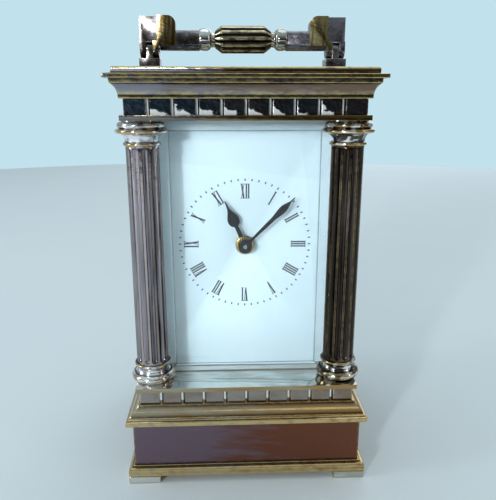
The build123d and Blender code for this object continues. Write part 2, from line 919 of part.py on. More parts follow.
keep(handle_lugs.part, "handle_lugs")

with BuildPart() as handle_pins:
    pin_length = post_width + 2 * handle_pin_proud
    for side in (-1, 1):
        with BuildSketch(Plane.YZ.offset(side * handle_reach - pin_length / 2)):
            with Locations((0, pivot_z)):
                Circle(handle_pin_radius)
        extrude(amount=pin_length)
keep(handle_pins.part, "handle_pins")

strap_z = case_top + strap_rise
grip_z = case_top + grip_rise
ferrule_end = grip_length / 2 + ferrule_length
rod_half = ferrule_end + handle_rod_bite
crook_inner = handle_reach - post_width / 2 - crook_width
knuckle_half = post_width / 2 + knuckle_side_gap


def handle_arm(side):
    """One side of the handle: forked knuckle, post, curled shoulder and strap to the ferrule."""
    with BuildPart() as arm:
        with BuildSketch(Plane.YZ.offset(side * handle_reach - knuckle_half)):
            with Locations((0, pivot_z)):
                Circle(knuckle_radius)
            with Locations((0, pivot_z + knuckle_radius / 2)):
                Rectangle(2 * knuckle_radius, knuckle_radius)
        extrude(amount=2 * knuckle_half)
        post_base = pivot_z + knuckle_radius
        with BuildSketch(level_plane(side * handle_reach, 0, post_base)):
            Rectangle(post_width, post_depth)
        extrude(amount=case_top + post_top - post_base)
        crook_middle = side * (crook_inner + crook_width / 2)
        with BuildSketch(dial_plane(crook_middle, crook_depth / 2, case_top)) as crook:
            with Locations((0, (crook_bottom + crook_top) / 2)):
                Rectangle(crook_width + 2 * easy, crook_top - crook_bottom)
            upper = crook.vertices().sort_by(Axis.Y)[-2:]
            fillet(upper.sort_by(Axis.X)[0 if side > 0 else -1], radius=crook_round)
        extrude(amount=crook_depth)
        strap_end = ferrule_end - strap_bite
        with BuildSketch(Plane.YZ.offset(side * strap_end)):
            with Locations((0, strap_z + strap_height / 2)):
                RectangleRounded(strap_depth, strap_height, strap_round)
        extrude(amount=side * (handle_reach - lug_width / 2 - strap_end - easy))
        with BuildSketch(Plane.YZ.offset(side * handle_reach - tongue_thickness / 2 - hinge_gap)):
            with Locations((0, pivot_z - knuckle_radius / 2)):
                Rectangle(3 * knuckle_radius, 3 * knuckle_radius)
        extrude(amount=tongue_thickness + 2 * hinge_gap, mode=Mode.SUBTRACT)
        with BuildSketch(Plane.YZ.offset(side * handle_reach - post_width)):
            with Locations((0, pivot_z)):
                Circle(handle_pin_radius + running)
        extrude(amount=2 * post_width, mode=Mode.SUBTRACT)
        with BuildSketch(Plane.YZ):
            with Locations((0, grip_z)):
                Circle(handle_rod_radius + easy)
        extrude(amount=side * (rod_half + handle_rod_end_gap), mode=Mode.SUBTRACT)
    return arm.part


keep(handle_arm(-1), "handle_arm_left")
keep(handle_arm(1), "handle_arm_right")

with BuildPart() as handle_rod:
    with BuildSketch(Plane.YZ.offset(-rod_half)):
        with Locations((0, grip_z)):
            Circle(handle_rod_radius)
    extrude(amount=2 * rod_half)
keep(handle_rod.part, "handle_rod")

with BuildPart() as handle_ferrules:
    start = grip_length / 2
    neck = start + ferrule_neck_length
    rim = ferrule_end - strap_bite
    bore = handle_rod_radius + easy
    for side in (-1, 1):
        with BuildSketch(Plane(origin=(0, 0, grip_z), x_dir=(side, 0, 0), z_dir=(0, -side, 0))):
            with BuildLine():
                draw_profile(
                    (
                        (start, bore, 0),
                        (start, grip_end_radius - ferrule_edge, 0),
                        (neck, grip_end_radius - ferrule_edge, 0),
                        (neck + ferrule_shoulder, ferrule_radius, ferrule_shoulder_radius),
                        (rim, ferrule_radius - ferrule_edge, ferrule_crown_radius),
                        (rim, bore, 0),
                        (start, bore, 0),
                    )
                )
            make_face()
        revolve(axis=Axis((0, 0, grip_z), (1, 0, 0)))
keep(handle_ferrules.part, "handle_ferrules")

with BuildPart() as handle_grip:
    reed_circle = grip_radius - reed_radius
    with BuildSketch(Plane.YZ.offset(-grip_length / 2)):
        with Locations((0, grip_z)):
            Circle(reed_circle)
            with PolarLocations(reed_circle, reed_count):
                Circle(reed_radius)
    extrude(amount=grip_length)
    with BuildSketch(Plane(origin=(0, 0, grip_z), x_dir=(1, 0, 0), z_dir=(0, -1, 0))):
        with BuildLine():
            Polyline(
                (-grip_length / 2, 0),
                (-grip_length / 2, grip_end_radius),
                (-grip_flat_length / 2, grip_radius),
                (grip_flat_length / 2, grip_radius),
                (grip_length / 2, grip_end_radius),
                (grip_length / 2, 0),
                close=True,
            )
        make_face()
    revolve(axis=Axis((0, 0, grip_z), (1, 0, 0)), mode=Mode.INTERSECT)
    with BuildSketch(Plane.YZ.offset(-grip_length / 2)):
        with Locations((0, grip_z)):
            Circle(handle_rod_radius + easy)
    extrude(amount=grip_length, mode=Mode.SUBTRACT)
keep(handle_grip.part, "handle_grip")

# Back door: rails fixed under and over it, the framed glass, and a turn catch
door_bottom = floor_z + sill_height + door_gap
door_top = ceiling_z - head_height - door_gap
door_y = door_inner_y + door_thickness / 2
door_pivot_x = -door_side_reach + door_pivot_inset
catch_x = door_side_reach - door_stile / 2
catch_z = door_top - catch_drop
with BuildPart() as door_rails:
    for bottom, top in ((floor_z, door_bottom - door_gap), (door_top + door_gap, ceiling_z)):
        with BuildSketch(level_plane(0, door_y, bottom)):
            Rectangle(2 * door_side_reach, door_thickness)
        extrude(amount=top - bottom)
    for x in (-column_x, column_x):
        clear_round = disc(level_plane(x, column_y, floor_z), capital_ring_radius + door_rail_column_gap)
        extrude(clear_round, amount=column_height, mode=Mode.SUBTRACT)
    pin_room = door_pin_length + door_pin_end_gap
    extrude(
        disc(level_plane(door_pivot_x, door_y, door_bottom - door_gap - pin_room), door_pin_radius + running),
        amount=door_top - door_bottom + 2 * door_gap + 2 * pin_room,
        mode=Mode.SUBTRACT,
    )
keep(door_rails.part, "door_rails")

with BuildPart() as door_frame:
    door_height = door_top - door_bottom
    outer_face = Plane(
        origin=(0, door_inner_y + door_thickness, door_bottom + door_height / 2),
        x_dir=(-1, 0, 0),
        z_dir=(0, 1, 0),
    )
    opening_width = 2 * (door_side_reach - door_stile)
    opening_height = door_height - 2 * door_stile
    with BuildSketch(outer_face):
        Rectangle(2 * door_side_reach, door_height)
        Rectangle(opening_width, opening_height, mode=Mode.SUBTRACT)
        with Locations((-catch_x, catch_z - door_bottom - door_height / 2)):
            Circle(catch_spindle_radius + running, mode=Mode.SUBTRACT)
    extrude(amount=-door_thickness)
    with BuildSketch(outer_face.offset(-door_lip_thickness)):
        Rectangle(opening_width + 2 * door_rebate, opening_height + 2 * door_rebate)
    extrude(amount=-door_thickness, mode=Mode.SUBTRACT)
    for foot in (door_bottom - door_pin_length, door_top):
        extrude(disc(level_plane(door_pivot_x, door_y, foot), door_pin_radius), amount=door_pin_length)
keep(door_frame.part, "door_frame")

door_pane = bevelled_glass(
    outer_face.offset(-door_lip_thickness),
    opening_width + 2 * door_rebate - 2 * easy,
    opening_height + 2 * door_rebate - 2 * easy,
    door_glass_thickness,
    bevel_width,
)
keep(door_pane, "door_glass")

with BuildPart() as door_catch:
    tongue_y = door_inner_y - catch_gap - catch_tongue_thickness
    knob_y = door_inner_y + door_thickness + catch_gap
    extrude(disc(across_plane(catch_x, tongue_y, catch_z), catch_spindle_radius), amount=knob_y - tongue_y)
    with BuildSketch(across_plane(catch_x, tongue_y, catch_z)):
        with Locations((catch_tongue_length / 2, 0)):
            SlotOverall(catch_tongue_length + catch_tongue_width, catch_tongue_width)
    extrude(amount=catch_tongue_thickness)
    with BuildSketch(Plane(origin=(catch_x, knob_y, catch_z), x_dir=(0, 0, 1), z_dir=(-1, 0, 0))):
        with BuildLine():
            Polyline(
                (0, 0),
                (catch_knob_radius * 0.75, 0),
                (catch_knob_radius * 0.5, catch_knob_length * 0.3),
                (catch_knob_radius, catch_knob_length * 0.5),
                (catch_knob_radius, catch_knob_length * 0.8),
                (catch_knob_radius * 0.7, catch_knob_length),
                (0, catch_knob_length),
                close=True,
            )
        make_face()
    revolve(axis=Axis((catch_x, 0, catch_z), (0, 1, 0)))
keep(door_catch.part, "door_catch")

# Dial: a flat enamelled plate that fills the opening, with three feet behind it
dial_bottom = floor_z + dial_end_gap
dial_height = column_height - 2 * dial_end_gap
upper_feet = [(x * dial_foot_spread, plate_top - dial_foot_drop) for x in (-1, 1)]
foot_points = [*upper_feet, (0.0, floor_z + dial_foot_rise)]
with BuildPart() as dial:
    with BuildSketch(dial_plane(0, dial_back_y, dial_bottom + dial_height / 2)):
        Rectangle(2 * dial_half_width, dial_height)
    extrude(amount=dial_thickness)
    for x, z in foot_points:
        foot = disc(across_plane(x, dial_back_y, z), dial_foot_radius)
        extrude(foot, amount=front_plate_y - dial_back_y + dial_foot_bite)
    centre_hole = disc(across_plane(0, dial_front_y, dial_centre_z), dial_hole_radius)
    extrude(centre_hole, amount=dial_thickness, mode=Mode.SUBTRACT)
keep(dial.part, "dial")

hour_hand_y = dial_front_y - hour_hand_gap
minute_hand_y = dial_front_y - minute_hand_gap
with BuildPart() as hour_hand:
    with BuildSketch(dial_plane(0, hour_hand_y, dial_centre_z, hour_angle)):
        with BuildLine():
            root_half = hour_stem_half + hour_stem_flare
            Polyline((0, hand_root), (root_half, hand_root), (hour_stem_half, pear_start))
            Spline(
                (hour_stem_half, pear_start),
                (pear_half, pear_middle),
                (pear_tip_half, pear_end),
                tangents=[(0.9, 0.35), (-0.25, 1.0)],
            )
            Polyline(
                (pear_tip_half, pear_end),
                (hour_tip_half, hour_hand_length - hand_point),
                (0, hour_hand_length),
            )
            mirror(about=Plane.YZ)
        make_face()
    extrude(amount=hand_thickness)
    boss_plane = dial_plane(0, hour_hand_y + hour_boss_height, dial_centre_z)
    boss_depth = hour_boss_height + hand_thickness
    extrude(disc(boss_plane, hour_boss_radius), amount=boss_depth)
    extrude(disc(boss_plane, hour_pipe_radius), amount=boss_depth, mode=Mode.SUBTRACT)
keep(hour_hand.part, "hour_hand")

with BuildPart() as minute_hand:
    with BuildSketch(dial_plane(0, minute_hand_y, dial_centre_z, minute_angle)):
        with BuildLine():
            Polyline(
                (0, hand_root),
                (minute_root_half, hand_root),
                (minute_waist_half, minute_waist),
                (minute_stem_half, spade_start),
            )
            Spline(
                (minute_stem_half, spade_start),
                (spade_half, spade_middle),
                (spade_tip_half, spade_end),
                tangents=[(0.1, 1.0), (-0.3, 1.0)],
            )
            Polyline(
                (spade_tip_half, spade_end),
                (minute_tip_half, minute_hand_length - hand_point),
                (0, minute_hand_length),
            )
            mirror(about=Plane.YZ)
        make_face()
    extrude(amount=hand_thickness)
    minute_face = dial_plane(0, minute_hand_y, dial_centre_z)
    extrude(disc(minute_face, minute_boss_radius), amount=hand_thickness)
    extrude(disc(minute_face, cannon_pipe_radius), amount=hand_thickness, mode=Mode.SUBTRACT)
keep(minute_hand.part, "minute_hand")

collet_y = minute_hand_y - hand_thickness
arbor_front = collet_y - arbor_tip_length
with BuildPart() as hand_collet:
    collet_plane = dial_plane(0, collet_y, dial_centre_z)
    extrude(disc(collet_plane, collet_radius, centre_arbor_radius), amount=collet_thickness)
    rim_edges = hand_collet.faces().sort_by(Axis.Y)[0].edges()
    fillet(rim_edges.sort_by(SortBy.LENGTH)[-1], radius=collet_round)
keep(hand_collet.part, "hand_collet")

# Movement plates, pillars and their screws
platform_z = plate_top
contrate_tooth_y = contrate_y + contrate_rim_height
escape_at = (fourth_x, contrate_tooth_y + contrate_tooth_height / 2 + escape_arbor_offset)
pillar_points = [(x * pillar_spread, z) for z in (lower_pillar_z, upper_pillar_z) for x in (-1, 1)]
small_hole = small_screw_radius + easy
front_holes = [(intermediate_at, pivot_radius), (third_at, pivot_radius), (fourth_at, pivot_radius)]
plate_holes = front_holes + [(centre_at, centre_pivot_radius), (barrel_at, barrel_arbor_radius)]
click_post_at = (barrel_at[0] + click_post_offset[0], barrel_at[1] + click_post_offset[1])
platform_screw_x = platform_half_width - platform_screw_inset


def movement_plate(front_y, extra_holes):
    """One brass plate of the movement, drilled for its pillars, pivots and platform screws."""
    with BuildPart() as plate:
        with BuildSketch(across_plane(0, front_y, (floor_z + plate_top) / 2)):
            Rectangle(2 * plate_half_width, plate_top - floor_z)
        extrude(amount=plate_thickness)
        for x, z in pillar_points:
            extrude(disc(across_plane(x, front_y, z), small_hole), amount=plate_thickness, mode=Mode.SUBTRACT)
        for (x, z), radius in plate_holes + extra_holes:
            hole = disc(across_plane(x, front_y, z), radius + running)
            extrude(hole, amount=plate_thickness, mode=Mode.SUBTRACT)
        for side in (-1, 1):
            top_hole = level_plane(side * platform_screw_x, front_y + plate_thickness / 2, plate_top)
            extrude(disc(top_hole, small_hole), amount=-small_screw_length, mode=Mode.SUBTRACT)
    return plate.part


with BuildPart() as front_plate:
    add(movement_plate(front_plate_y, [((x, z), dial_foot_radius) for x, z in foot_points]))
    mx, mz = minute_wheel_at
    stud_plane = across_plane(mx, front_plate_y - minute_stud_length, mz)
    extrude(disc(stud_plane, pivot_radius), amount=minute_stud_length)
keep(front_plate.part, "front_plate")
keep(movement_plate(back_plate_y, [(click_post_at, small_screw_radius)]), "back_plate")

with BuildPart() as pillars:
    for x, z in pillar_points:
        extrude(disc(across_plane(x, front_plate_back, z), pillar_radius, small_hole), amount=plate_gap)
    for x, y in base_screw_points:
        extrude(
            disc(level_plane(x, y, lower_pillar_z - pillar_radius), case_hole_radius),
            amount=2 * pillar_radius,
            mode=Mode.SUBTRACT,
        )
keep(pillars.part, "pillars")

# Barrel: toothed drum, cap, mainspring and the arbor with its winding square
bx, bz = barrel_at
barrel_rim_y = barrel_front_y + barrel_length - barrel_rim_thickness
barrel_turn = direction(barrel_at, intermediate_at)
with BuildPart() as barrel_drum:
    extrude(disc(across_plane(bx, barrel_front_y, bz), barrel_drum_radius), amount=barrel_length)
    rim_plane = across_plane(bx, barrel_rim_y, bz)
    extrude(wheel_face(rim_plane, barrel_teeth, barrel_module, barrel_turn), amount=barrel_rim_thickness)
    extrude(
        disc(across_plane(bx, barrel_front_y + barrel_wall, bz), barrel_drum_radius - barrel_wall),
        amount=barrel_length,
        mode=Mode.SUBTRACT,
    )
    arbor_hole = disc(across_plane(bx, barrel_front_y, bz), barrel_arbor_radius + running)
    extrude(arbor_hole, amount=barrel_wall, mode=Mode.SUBTRACT)
keep(barrel_drum.part, "barrel_drum")

with BuildPart() as barrel_cap:
    cap_y = barrel_front_y + barrel_length - barrel_cap_thickness
    cap_radius = barrel_drum_radius - barrel_wall
    cap_face = disc(across_plane(bx, cap_y, bz), cap_radius, barrel_arbor_radius + running)
    extrude(cap_face, amount=barrel_cap_thickness)
keep(barrel_cap.part, "barrel_cap")

spring_width = barrel_length - barrel_wall - barrel_cap_thickness - 2 * spring_end_gap
with BuildPart() as mainspring:
    spring_room = barrel_drum_radius - barrel_wall - spring_drum_gap
    ribbon = spiral_face(
        across_plane(bx, barrel_front_y + barrel_wall + spring_end_gap, bz),
        spring_room - spring_half_turns * spring_pitch / 2,
        spring_pitch,
        spring_half_turns,
        spring_thickness,
    )
    extrude(ribbon, amount=spring_width)
keep(mainspring.part, "mainspring")

arbor_front_y = front_plate_y + barrel_arbor_end_gap
ratchet_y = back_plate_back + ratchet_gap
with BuildPart() as barrel_arbor:
    extrude(disc(across_plane(bx, arbor_front_y, bz), barrel_arbor_radius), amount=ratchet_y - arbor_front_y)
    core_y = barrel_front_y + barrel_wall + easy
    extrude(disc(across_plane(bx, core_y, bz), barrel_core_radius), amount=cap_y - easy - core_y)
    with BuildSketch(across_plane(bx, ratchet_y, bz)):
        Rectangle(winding_square, winding_square)
    extrude(amount=winding_square_end - ratchet_y)
keep(barrel_arbor.part, "barrel_arbor")


with BuildPart() as ratchet_wheel:
    plane = across_plane(bx, ratchet_y, bz)
    saw = toothed_face(plane, ratchet_teeth, ratchet_radius, ratchet_tooth_height, ratchet_tooth, 0.0)
    extrude(saw, amount=ratchet_thickness)
    with BuildSketch(plane):
        Rectangle(winding_square, winding_square)
    extrude(amount=ratchet_thickness, mode=Mode.SUBTRACT)
keep(ratchet_wheel.part, "ratchet_wheel")

click_y = back_plate_back + ratchet_gap
click_x, click_z = click_post_at
nose_turn = math.radians(click_nose_angle)
nose_radius = ratchet_radius + click_nose_gap
nose_at = (bx + nose_radius * math.cos(nose_turn), bz + nose_radius * math.sin(nose_turn))
click_reach = math.dist(click_post_at, nose_at)
click_turn = math.degrees(math.atan2(nose_at[1] - click_z, nose_at[0] - click_x))


def click_plane(y):
    """A plane on the click's post whose X runs along the click to its nose, and whose Y is up."""
    along = math.radians(click_turn)
    return Plane(origin=(click_x, y, click_z), x_dir=(math.cos(along), 0, math.sin(along)), z_dir=(0, 1, 0))


with BuildPart() as click:
    with BuildSketch(click_plane(click_y)):
        Circle(click_boss_radius)
        with BuildLine():
            Polyline(
                (0, 0),
                (click_reach, 0),
                (click_reach, click_nose_width),
                (0, click_root_width),
                close=True,
            )
        make_face()
        Circle(small_screw_radius + running, mode=Mode.SUBTRACT)
    extrude(amount=ratchet_thickness)
keep(click.part, "click")

with BuildPart() as click_spring:
    foot_u, foot_v = click_spring_foot
    tip_u, tip_v = click_spring_tip
    with BuildSketch(click_plane(back_plate_back)):
        with Locations(click_spring_foot):
            Circle(click_spring_boss)
        with BuildLine():
            Polyline(
                (foot_u - click_spring_half, foot_v),
                (foot_u + click_spring_half, foot_v),
                (tip_u + click_spring_half, tip_v),
                (tip_u - click_spring_half, tip_v),
                close=True,
            )
        make_face()
    extrude(amount=ratchet_gap + ratchet_thickness)
keep(click_spring.part, "click_spring")


def arbored_wheel(at, wheel, pinion, front_end, back_end):
    """A wheel and its pinion on one arbor, with a pivot at each end.

    wheel is (y, teeth, module, turn, thickness); pinion is (y, leaves, module, turn, length).
    """
    x, z = at
    wheel_y, teeth, module, wheel_turn, thickness = wheel
    pinion_y, leaves, leaf_module, pinion_turn, length = pinion
    with BuildPart() as arbor:
        shoulder_front = front_plate_back + shoulder_gap
        shoulder_back = back_plate_y - shoulder_gap
        extrude(disc(across_plane(x, front_end, z), pivot_radius), amount=back_end - front_end)
        extrude(disc(across_plane(x, shoulder_front, z), arbor_radius), amount=shoulder_back - shoulder_front)
        extrude(wheel_face(across_plane(x, wheel_y, z), teeth, module, wheel_turn), amount=thickness)
        windows = crossings(
            across_plane(x, wheel_y, z),
            wheel_hub_radius,
            window_radius(teeth, module, wheel_rim_width),
            wheel_arms,
            wheel_arm_width,
            wheel_turn + wheel_arm_turn,
        )
        extrude(windows, amount=thickness, mode=Mode.SUBTRACT)
        extrude(pinion_face(across_plane(x, pinion_y, z), leaves, leaf_module, pinion_turn), amount=length)
    return arbor.part


front_end = front_plate_y + pivot_end_gap
back_end = back_plate_back - pivot_end_gap
intermediate = arbored_wheel(
    intermediate_at,
    (
        intermediate_wheel_y,
        intermediate_teeth,
        intermediate_module,
        direction(intermediate_at, centre_at),
        intermediate_wheel_thickness,
    ),
    (
        barrel_rim_y - pinion_overlap,
        intermediate_leaves,
        barrel_module,
        direction(intermediate_at, barrel_at) + 180 / intermediate_leaves,
        barrel_rim_thickness + 2 * pinion_overlap,
    ),
    front_end,
    back_end,
)
keep(intermediate, "intermediate_wheel")

# Centre wheel: a sleeve that carries the wheel and its pinion, with the hand arbor through it
with BuildPart() as centre_wheel:
    cx, cz = centre_at
    extrude(disc(across_plane(cx, front_end, cz), centre_pivot_radius), amount=back_end - front_end)
    plane = across_plane(cx, centre_wheel_y, cz)
    centre_turn = direction(centre_at, third_at)
    extrude(wheel_face(plane, centre_teeth, centre_module, centre_turn), amount=wheel_thickness)
    window_end = window_radius(centre_teeth, centre_module, wheel_rim_width)
    windows = crossings(plane, centre_hub_radius, window_end, centre_arms, wheel_arm_width)
    extrude(windows, amount=wheel_thickness, mode=Mode.SUBTRACT)
    centre_leaf_turn = direction(centre_at, intermediate_at) + 180 / centre_leaves
    leaves = pinion_face(
        across_plane(cx, intermediate_wheel_y - pinion_overlap, cz),
        centre_leaves,
        intermediate_module,
        centre_leaf_turn,
    )
    extrude(leaves, amount=intermediate_wheel_thickness + 2 * pinion_overlap)
    extrude(
        disc(across_plane(cx, front_end, cz), centre_arbor_radius + running),
        amount=back_end - front_end,
        mode=Mode.SUBTRACT,
    )
keep(centre_wheel.part, "centre_wheel")

third = arbored_wheel(
    third_at,
    (third_wheel_y, third_teeth, third_module, direction(third_at, fourth_at), wheel_thickness),
    (
        centre_wheel_y - pinion_overlap,
        third_leaves,
        centre_module,
        direction(third_at, centre_at) + 180 / third_leaves,
        wheel_thickness + 2 * pinion_overlap,
    ),
    front_end,
    back_end,
)
keep(third, "third_wheel")

# Contrate wheel: crown teeth point to the back and turn the upright escape arbor
with BuildPart() as contrate_wheel:
    fx, fz = fourth_at
    rim_outer = contrate_radius + contrate_rim_width / 2
    rim_inner = contrate_radius - contrate_rim_width / 2
    web_plane = across_plane(fx, contrate_y, fz)
    extrude(disc(across_plane(fx, front_end, fz), pivot_radius), amount=back_end - front_end)
    extrude(
        disc(across_plane(fx, front_plate_back + shoulder_gap, fz), arbor_radius),
        amount=plate_gap - 2 * shoulder_gap,
    )
    extrude(disc(web_plane, rim_outer), amount=contrate_web)
    arm_turn = 180 / wheel_arms
    windows = crossings(web_plane, contrate_hub_radius, rim_inner, wheel_arms, wheel_arm_width, arm_turn)
    extrude(windows, amount=contrate_web, mode=Mode.SUBTRACT)
    extrude(disc(web_plane, rim_outer, rim_inner), amount=contrate_rim_height)
    with BuildSketch(across_plane(fx, contrate_tooth_y, fz)):
        with PolarLocations(contrate_radius, contrate_teeth, start_angle=90 + 180 / contrate_teeth):
            Rectangle(contrate_rim_width - 2 * contrate_tooth_inset, contrate_tooth_width)
    extrude(amount=contrate_tooth_height)
    leaves = pinion_face(
        across_plane(fx, third_wheel_y - pinion_overlap, fz),
        fourth_leaves,
        third_module,
        direction(fourth_at, third_at) + 180 / fourth_leaves,
    )
    extrude(leaves, amount=wheel_thickness + 2 * pinion_overlap)
keep(contrate_wheel.part, "contrate_wheel")

# Centre arbor and motion work
motion_y = front_plate_y - cannon_plate_gap
cannon_y = motion_y - cannon_leaf_length
minute_wheel_y = cannon_y + minute_wheel_gap
hour_wheel_y = cannon_y - motion_wheel_gap - wheel_thickness
with BuildPart() as centre_arbor:
    arbor_length = back_plate_back + arbor_back_length - arbor_front
    extrude(disc(across_plane(cx, arbor_front, cz), centre_arbor_radius), amount=arbor_length)
    with BuildSketch(across_plane(cx, back_plate_back + arbor_key_gap, cz)):
        Rectangle(arbor_key_width, arbor_key_width)
    extrude(amount=arbor_key_length)
keep(centre_arbor.part, "centre_arbor")

minute_at_turn = direction(centre_at, minute_wheel_at)
with BuildPart() as cannon_pinion:
    cannon_turn = minute_at_turn + 180 / cannon_teeth
    leaves = pinion_face(across_plane(cx, cannon_y, cz), cannon_teeth, motion_module, cannon_turn)
    extrude(leaves, amount=motion_y - cannon_y)
    pipe_plane = across_plane(cx, collet_y, cz)
    extrude(disc(pipe_plane, cannon_pipe_radius), amount=motion_y - collet_y)
    extrude(disc(pipe_plane, centre_arbor_radius), amount=motion_y - collet_y, mode=Mode.SUBTRACT)
keep(cannon_pinion.part, "cannon_pinion")

with BuildPart() as minute_wheel:
    wheel_plane = across_plane(mx, minute_wheel_y, mz)
    wheel_turn = direction(minute_wheel_at, centre_at)
    extrude(wheel_face(wheel_plane, minute_wheel_teeth, motion_module, wheel_turn), amount=wheel_thickness)
    window_end = window_radius(minute_wheel_teeth, motion_module, minute_wheel_rim)
    windows = crossings(wheel_plane, wheel_hub_radius, window_end, wheel_arms, minute_wheel_arm)
    extrude(windows, amount=wheel_thickness, mode=Mode.SUBTRACT)
    leaf_y = hour_wheel_y - pinion_overlap
    leaf_turn = wheel_turn + 180 / minute_pinion_leaves
    leaves = pinion_face(across_plane(mx, leaf_y, mz), minute_pinion_leaves, hour_module, leaf_turn)
    extrude(leaves, amount=minute_wheel_y - leaf_y)
    hub_hole = disc(across_plane(mx, leaf_y, mz), pivot_radius + running)
    extrude(hub_hole, amount=minute_wheel_y + wheel_thickness - leaf_y, mode=Mode.SUBTRACT)
keep(minute_wheel.part, "minute_wheel")

with BuildPart() as hour_wheel:
    wheel_plane = across_plane(cx, hour_wheel_y, cz)
    extrude(wheel_face(wheel_plane, hour_wheel_teeth, hour_module, minute_at_turn), amount=wheel_thickness)
    pipe_end = hour_hand_y - hand_thickness
    extrude(disc(across_plane(cx, pipe_end, cz), hour_pipe_radius), amount=hour_wheel_y - pipe_end)
    extrude(
        disc(across_plane(cx, pipe_end, cz), cannon_pipe_radius + running),
        amount=hour_wheel_y + wheel_thickness - pipe_end,
        mode=Mode.SUBTRACT,
    )
keep(hour_wheel.part, "hour_wheel")

# Platform: the plate on top of the movement that carries the escapement
ex, ey = escape_at
lever_x = ex + pallet_reach
balance_x = lever_x + lever_length + roller_radius
platform_top = platform_z + platform_thickness
cock_z = platform_top + train_cock_rise
balance_cock_z = platform_top + balance_cock_rise
platform_front = front_plate_y - platform_margin
platform_back = back_plate_back + platform_margin
platform_corners = [
    (x * platform_screw_x, y)
    for x in (-1, 1)
    for y in (front_plate_y + plate_thickness / 2, back_plate_y + plate_thickness / 2)
]
train_cock_foot = (ex + train_cock_foot_offset[0], platform_back - train_cock_foot_offset[1])
balance_cock_foot = (balance_x, platform_back - balance_cock_foot_inset)
cock_screw_points = [train_cock_foot, balance_cock_foot]
with BuildPart() as platform:
    with BuildSketch(Plane.XY.offset(platform_z)):
        with Locations((0, (platform_front + platform_back) / 2)):
            RectangleRounded(2 * platform_half_width, platform_back - platform_front, platform_corner)
        with Locations(*platform_corners, *cock_screw_points):
            Circle(small_hole, mode=Mode.SUBTRACT)
        with Locations((lever_x, ey), (balance_x, ey)):
            Circle(escape_pivot + running, mode=Mode.SUBTRACT)
        with Locations((ex, ey)):
            Circle(escape_arbor_hole, mode=Mode.SUBTRACT)
    extrude(amount=platform_thickness)
keep(platform.part, "platform")

# Potence: the bracket under the platform that holds the foot of the escape arbor
pitch_z = fourth_at[1] + contrate_radius
potence_z = pitch_z - potence_drop
with BuildPart() as potence:
    arm_top = potence_z + potence_thickness
    with BuildSketch(Plane.YZ.offset(ex - potence_width / 2)):
        with BuildLine():
            Polyline(
                (ey - potence_front, potence_z),
                (ey + potence_back, potence_z),
                (ey + potence_back, platform_z),
                (ey + potence_inner, platform_z),
                (ey + potence_inner, arm_top),
                (ey - potence_front, arm_top),
                close=True,
            )
        make_face()
    extrude(amount=potence_width)
    foot_hole = disc(level_plane(ex, ey, potence_z), escape_pivot + running)
    extrude(foot_hole, amount=potence_thickness, mode=Mode.SUBTRACT)
keep(potence.part, "potence")

escape_wheel_z = platform_top + escape_wheel_rise
with BuildPart() as escape_wheel:
    leaf_bottom = pitch_z - escape_leaf_drop
    leaf_top = leaf_bottom + escape_leaf_length
    pivot_bottom = potence_z + pivot_end_gap
    extrude(disc(level_plane(ex, ey, pivot_bottom), escape_pivot), amount=cock_z + pivot_proud - pivot_bottom)
    extrude(disc(level_plane(ex, ey, leaf_top), escape_arbor_radius), amount=cock_z - cock_end_gap - leaf_top)
    leaf_module = contrate_radius * 2 / contrate_teeth
    leaves = pinion_face(level_plane(ex, ey, leaf_bottom), escape_leaves, leaf_module, -90)
    extrude(leaves, amount=escape_leaf_length)
    wheel_plane = level_plane(ex, ey, escape_wheel_z)
    teeth = toothed_face(wheel_plane, escape_teeth, escape_radius, escape_tooth_height, escape_tooth, 0.0)
    extrude(teeth, amount=escape_wheel_thickness)
    windows = crossings(wheel_plane, escape_hub_radius, escape_window_radius, wheel_arms, escape_arm_width)
    extrude(windows, amount=escape_wheel_thickness, mode=Mode.SUBTRACT)
keep(escape_wheel.part, "escape_wheel")

# Pallet lever: two stones reach round the escape wheel, a fork reaches to the balance
with BuildPart() as pallet_lever:
    lever_z = escape_wheel_z - (lever_thickness - escape_wheel_thickness) / 2
    staff_z = platform_top + cock_end_gap
    pivot_z0 = platform_z + staff_foot_gap
    staff_length = cock_z - cock_end_gap - staff_z
    extrude(disc(level_plane(lever_x, ey, staff_z), lever_staff_radius), amount=staff_length)
    extrude(disc(level_plane(lever_x, ey, pivot_z0), escape_pivot), amount=cock_z + pivot_proud - pivot_z0)
    stone_turn = math.radians(pallet_angle)
    stone_reach = escape_radius + pallet_clearance + stone_width / 2
    stone_x = stone_reach * math.cos(stone_turn) - pallet_reach
    stone_y = stone_reach * math.sin(stone_turn)
    with BuildSketch(level_plane(lever_x, ey, lever_z)):
        with Locations((lever_length / 2, 0)):
            Rectangle(lever_length, lever_width)
        with Locations((lever_length - fork_length / 2, 0)):
            Rectangle(fork_length, fork_width)
        with Locations((lever_length, 0)):
            Rectangle(fork_length, fork_slot, mode=Mode.SUBTRACT)
        Rectangle(pallet_arm_width, pallet_arm_length)
        for side in (-1, 1):
            with Locations((stone_x, side * stone_y)):
                Rectangle(stone_width, stone_length, rotation=side * pallet_angle)
    extrude(amount=lever_thickness)
keep(pallet_lever.part, "pallet_lever")

